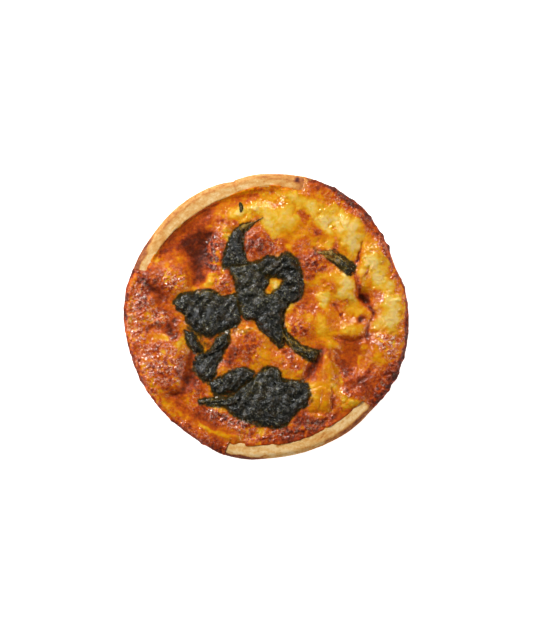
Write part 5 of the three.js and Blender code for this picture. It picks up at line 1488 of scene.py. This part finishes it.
# %% [markdown]
# ## Finishes
#
# Baked egg is a little see-through, so the custard has some light under its skin. Its colour is
# one ramp from pale egg to almost black, read at the doneness of each point, and noise varies it
# within a millimetre. Fat has dried in some places and stands wet in others, so a matt skin is
# mixed with a wet one, which shines buttery on yellow egg and nearly white on browned egg.

# %% Custard
CUSTARD_STOPS = [
    (0.0, paint_colour(233, 200, 114)), (0.12, paint_colour(228, 180, 50)),
    (0.25, paint_colour(219, 148, 2)), (0.38, paint_colour(207, 117, 2)),
    (0.5, paint_colour(194, 92, 8)), (0.62, paint_colour(176, 76, 14)),
    (0.74, paint_colour(148, 58, 14)), (0.86, paint_colour(118, 44, 14)),
    (1.0, paint_colour(80, 28, 10)),
]
REDDENED = (1, 0.76, 0.85, 1)  # what browned blisters multiply the ramp by
# the pale colour of painted sparkle: highlights painted on wet blisters
SPARKLE_COLOUR = paint_colour(240, 194, 164)
RUBBED_COLOUR = paint_colour(206, 140, 72)
# dark olive for juice stain, and for painted shade beside and between the leaves
JUICE_AND_SHADE_COLOUR = paint_colour(58, 46, 14)


def custard_finish():
    """Doneness ramp, reddened within blisters and given a painted pale sparkle where they are wet,
    rubbed to pastry colour, and stained by juice with painted shade beside the leaves, with one
    bump and a matt skin and two wet ones mixed."""
    finish = Finish("baked_custard")
    done, rough, shred, wet, rubbed = (
        finish.attribute(name) for name in ("doneness", "blistered", "shred", "wet", "rubbed"))
    grain = finish.noise(1.25, 3, 0.65)
    mottle = finish.noise(3.6, 4, 0.6)
    browned = finish.span(done, 0.2, 0.5)
    shade = done + (grain - 0.5) * (browned * 0.5 + 0.12) + (mottle - 0.5) * (browned * 0.3 + 0.2)
    ramp = finish.ramp(shade, CUSTARD_STOPS)
    colour = finish.mix(ramp, REDDENED, rough * browned * 0.8, "MULTIPLY")
    # painted highlights: pale worms and flecks where the blisters are wet
    sparkle_worms = finish.span(finish.size_of(finish.noise(1.5, 2, 0.5) - 0.5), 0.0, 0.05, 1, 0)
    sparkle_flecks = finish.span(finish.noise(1.0, 2, 0.55), 0.52, 0.66)
    crowded = finish.span(finish.noise(2.4, 2, 0.5), 0.35, 0.55)
    scarce = finish.span(done, 0.58, 0.78, 1, 0.45)
    painted_sparkle = (sparkle_worms * 0.7 + sparkle_flecks) * crowded * scarce * wet * rough * (browned * 0.9 + 0.1)
    colour = finish.mix(colour, SPARKLE_COLOUR, painted_sparkle)
    pastry = finish.span(rubbed + (grain - 0.5) * 1.6, 0.25, 0.85)
    colour = finish.mix(colour, RUBBED_COLOUR, pastry)
    # juice stain and painted shade beside the leaves, and the shred's own colour
    juice_and_shade = finish.span(shred + (grain - 0.5) * 1.2, 0.15, 0.95)
    colour = finish.mix(colour, JUICE_AND_SHADE_COLOUR, juice_and_shade)
    relief = finish.noise(1.1, 1, 0.5) * (rough * 0.8 + 0.4)
    skin = {"Base Color": colour, "Normal": finish.bump(relief, 0.45), "IOR": 1.45,
            "Subsurface Weight": 0.7, "Subsurface Radius": (1.0, 0.35, 0.06),
            "Subsurface Scale": LIGHT_REACH * MM}
    dried = finish.shader({**skin, "Roughness": 0.5, "Specular IOR Level": 0.12})
    glossy = {**skin, "Roughness": finish.span(mottle, 0.3, 0.7, 0.08, 0.17), "Specular IOR Level": 1.0}
    buttery = finish.shader({**glossy, "Specular Tint": (1, 0.86, 0.6, 1)})
    glazed = finish.shader({**glossy, "Specular Tint": (1, 0.94, 0.86, 1)})
    wetted = finish.either(buttery, glazed, browned)
    shine = wet * finish.span(mottle, 0.25, 0.5, 0.5, 1) * (1 - rubbed)
    return finish.surface(finish.either(dried, wetted, shine))


filling.data.materials.append(custard_finish())
print("custard:", len(filling.active_material.node_tree.nodes), "nodes")

# %% Short pastry
PASTRY_STOPS = [
    (0.0, paint_colour(232, 198, 142)), (0.16, paint_colour(218, 170, 100)),
    (0.34, paint_colour(204, 140, 66)), (0.5, paint_colour(182, 110, 48)),
    (0.66, paint_colour(158, 86, 42)), (0.82, paint_colour(118, 54, 28)),
    (1.0, paint_colour(76, 28, 18)),
]


def pastry_finish():
    """Toasting ramp with a sandy grain, dry and barely glossy, with a crumbly bump."""
    finish = Finish("short_pastry")
    sand = finish.noise(0.9, 3, 0.7)
    blotch = finish.noise(3.5, 4, 0.55)
    shade = finish.attribute("toasted") + (sand - 0.5) * 0.6 + (blotch - 0.5) * 0.25
    pores = finish.span(finish.cells(1.3), 0.0, 0.16, 1, 0)
    relief = sand * 0.7 + finish.noise(0.22, 2) * 0.3 - pores * 0.6
    return finish.surface(finish.shader({
        "Base Color": finish.ramp(shade, PASTRY_STOPS),
        "Roughness": finish.span(sand, 0.3, 0.7, 0.55, 0.75), "Normal": finish.bump(relief, 0.12),
        "IOR": 1.45, "Specular IOR Level": 0.35, "Subsurface Weight": 0.06,
        "Subsurface Radius": (1.0, 0.6, 0.3), "Subsurface Scale": LIGHT_REACH * MM}))


case.data.materials.append(pastry_finish())
print("pastry:", len(case.active_material.node_tree.nodes), "nodes")

# %% Spinach
SPINACH_STOPS = [
    (0.0, paint_colour(12, 13, 8)), (0.3, paint_colour(26, 27, 15)), (0.5, paint_colour(52, 48, 18)),
    (0.7, paint_colour(98, 82, 26)), (1.0, paint_colour(160, 126, 52)),
]
# the grey is a painted sheen on the leaves' folds
TAN, SHEEN_GREY = paint_colour(62, 46, 12), paint_colour(82, 84, 87)
# the pale speck colour is painted glints on the leaves
PIT_BLACK, GLINT_COLOUR = paint_colour(12, 11, 5), paint_colour(146, 144, 116)


def spinach_finish():
    """Near-black green, olive where it is bleached or thin, with painted shade in the creases, a painted
    grey sheen on folds, painted glints, and wet, finely puckered skin.
    """
    finish = Finish("wilted_spinach")
    thin, lacy, crease, olive, bloom = (
        finish.attribute(name) for name in ("thin", "lacy", "crease", "olive", "bloom"))
    patch = finish.noise(1.0, 3, 0.7)
    # the depth of creases darkens the colour, as painted shade in them
    shade = olive * 0.8 + (thin + lacy) * 0.25 + (patch - 0.5) * 1.5 - (crease - 0.5) * 0.5 - 0.15
    tanned = finish.span(finish.noise(2.6, 3, 0.6), 0.5, 0.64, 0, 0.45)
    colour = finish.mix(finish.ramp(shade, SPINACH_STOPS), TAN, tanned)
    # painted sheen: grey on the pleats' crests and along the painted folds
    sheen_share = finish.span(bloom + (patch - 0.5) + (0.5 - crease) * 1.3, 0.3, 0.95)
    colour = finish.mix(colour, SHEEN_GREY, sheen_share * 0.62)
    pits = finish.span(finish.noise(1.05, 2, 0.6), 0.32, 0.46, 0.85, 0)
    colour = finish.mix(colour, PIT_BLACK, pits)
    # painted glints: pale specks in patches, brighter where the sheen is painted
    glint_patches = finish.span(finish.noise(3.1, 2), 0.42, 0.6, 0.12, 1)
    painted_glints = finish.span(finish.noise(0.75, 1, 0.5), 0.57, 0.71) * glint_patches
    colour = finish.mix(colour, GLINT_COLOUR, painted_glints * (bloom * 0.4 + 0.55))
    relief = finish.noise(0.8, 3, 0.6)
    lace = finish.span(lacy + (finish.noise(1.3, 3, 0.65) - 0.5) * 1.6, 0.6, 0.95, 1, 0)
    skin = {"Base Color": colour, "Normal": finish.bump(relief, 0.46), "IOR": 1.45, "Alpha": lace}
    dull = finish.shader({**skin, "Roughness": 0.5, "Specular IOR Level": 0.2})
    gloss = finish.span(patch, 0.3, 0.7, 0.13, 0.26)
    wetted = finish.shader({**skin, "Roughness": gloss, "Specular IOR Level": 1.0})
    shine = finish.span(finish.noise(1.6, 2, 0.6), 0.4, 0.6, 0, 0.85)
    return finish.surface(finish.either(dull, wetted, shine))


spinach = spinach_finish()
for leaf in leaves:
    leaf.data.materials.append(spinach)
print("spinach:", len(spinach.node_tree.nodes), "nodes")

# %% [markdown]
# ## The table, the light and the camera
#
# A plain near-white table and four soft lamps. The key lamp at the upper left shades the mounds
# and blisters, and the others add sparkle from the back, the left and the right. They all stand
# at about 45 degrees, as a lamp overhead would veil the wet skin. The camera looks straight down.

# %% Floor
FLOOR_HALF = 8  # metres, so that no edge of it shows


def pale_floor():
    """A flat square with an even, nearly white, matt finish that glows a little."""
    mesh = bpy.data.meshes.new("table_top")
    corners = [(-FLOOR_HALF, -FLOOR_HALF, 0), (FLOOR_HALF, -FLOOR_HALF, 0),
               (FLOOR_HALF, FLOOR_HALF, 0), (-FLOOR_HALF, FLOOR_HALF, 0)]
    mesh.from_pydata(corners, [], [(0, 1, 2, 3)])
    floor = bpy.data.objects.new("table_top", mesh)
    bpy.context.scene.collection.objects.link(floor)
    finish = Finish("white_table")
    mesh.materials.append(finish.surface(finish.shader({
        "Base Color": (0.92, 0.92, 0.92, 1), "Roughness": 0.8, "Specular IOR Level": 0.1,
        "Emission Color": (1, 1, 1, 1), "Emission Strength": 0.85})))


pale_floor()

# %% Lights
AIM = Vector((0, 0, 0.02))  # the place in the quiche that all lamps point at
SURROUND_STRENGTH = 0.06


def soft_lamp(name, place, size, power, colour=(1, 1, 1)):
    """A square area light at a place in metres, aimed at the quiche."""
    lamp = bpy.data.lights.new(name, "AREA")
    lamp.energy = power
    lamp.size = size
    lamp.color = colour
    holder = bpy.data.objects.new(name, lamp)
    holder.location = place
    bpy.context.scene.collection.objects.link(holder)
    holder.rotation_euler = (AIM - Vector(place)).to_track_quat("-Z", "Y").to_euler()
    print(f"{name}: {power} W, {(AIM - Vector(place)).length:.2f} m away")


soft_lamp("key_lamp", (-0.42, 0.44, 0.52), 0.2, 5.5)
soft_lamp("back_lamp", (0.12, 0.62, 0.42), 0.3, 1.9)
soft_lamp("left_lamp", (-0.65, -0.12, 0.4), 0.3, 1.5)
soft_lamp("right_lamp", (0.62, -0.2, 0.42), 0.3, 1.8, colour=(1, 0.94, 0.84))

surround = bpy.data.worlds.new("surround")
surround.use_nodes = True
glow = surround.node_tree.nodes["Background"].inputs
glow["Color"].default_value = (1, 1, 1, 1)
glow["Strength"].default_value = SURROUND_STRENGTH
bpy.context.scene.world = surround
bpy.context.scene.view_settings.view_transform = "Standard"

# %% Camera
LENS = 85
FRAME_HEIGHT = 245.1  # millimetres of the rim's level that the long side of the picture shows
SENSOR = 36
CAMERA_SHIFT = -0.39  # from the middle of the rim, along Y

camera_data = bpy.data.cameras.new("camera")
camera_data.lens = LENS
camera_data.sensor_width = SENSOR
camera = bpy.data.objects.new("camera", camera_data)
camera.location = (0, CAMERA_SHIFT * MM, (CASE_HEIGHT + FRAME_HEIGHT / SENSOR * LENS) * MM)
bpy.context.scene.collection.objects.link(camera)
bpy.context.scene.camera = camera
print(f"camera {camera.location.z / MM:.0f} mm above the table")
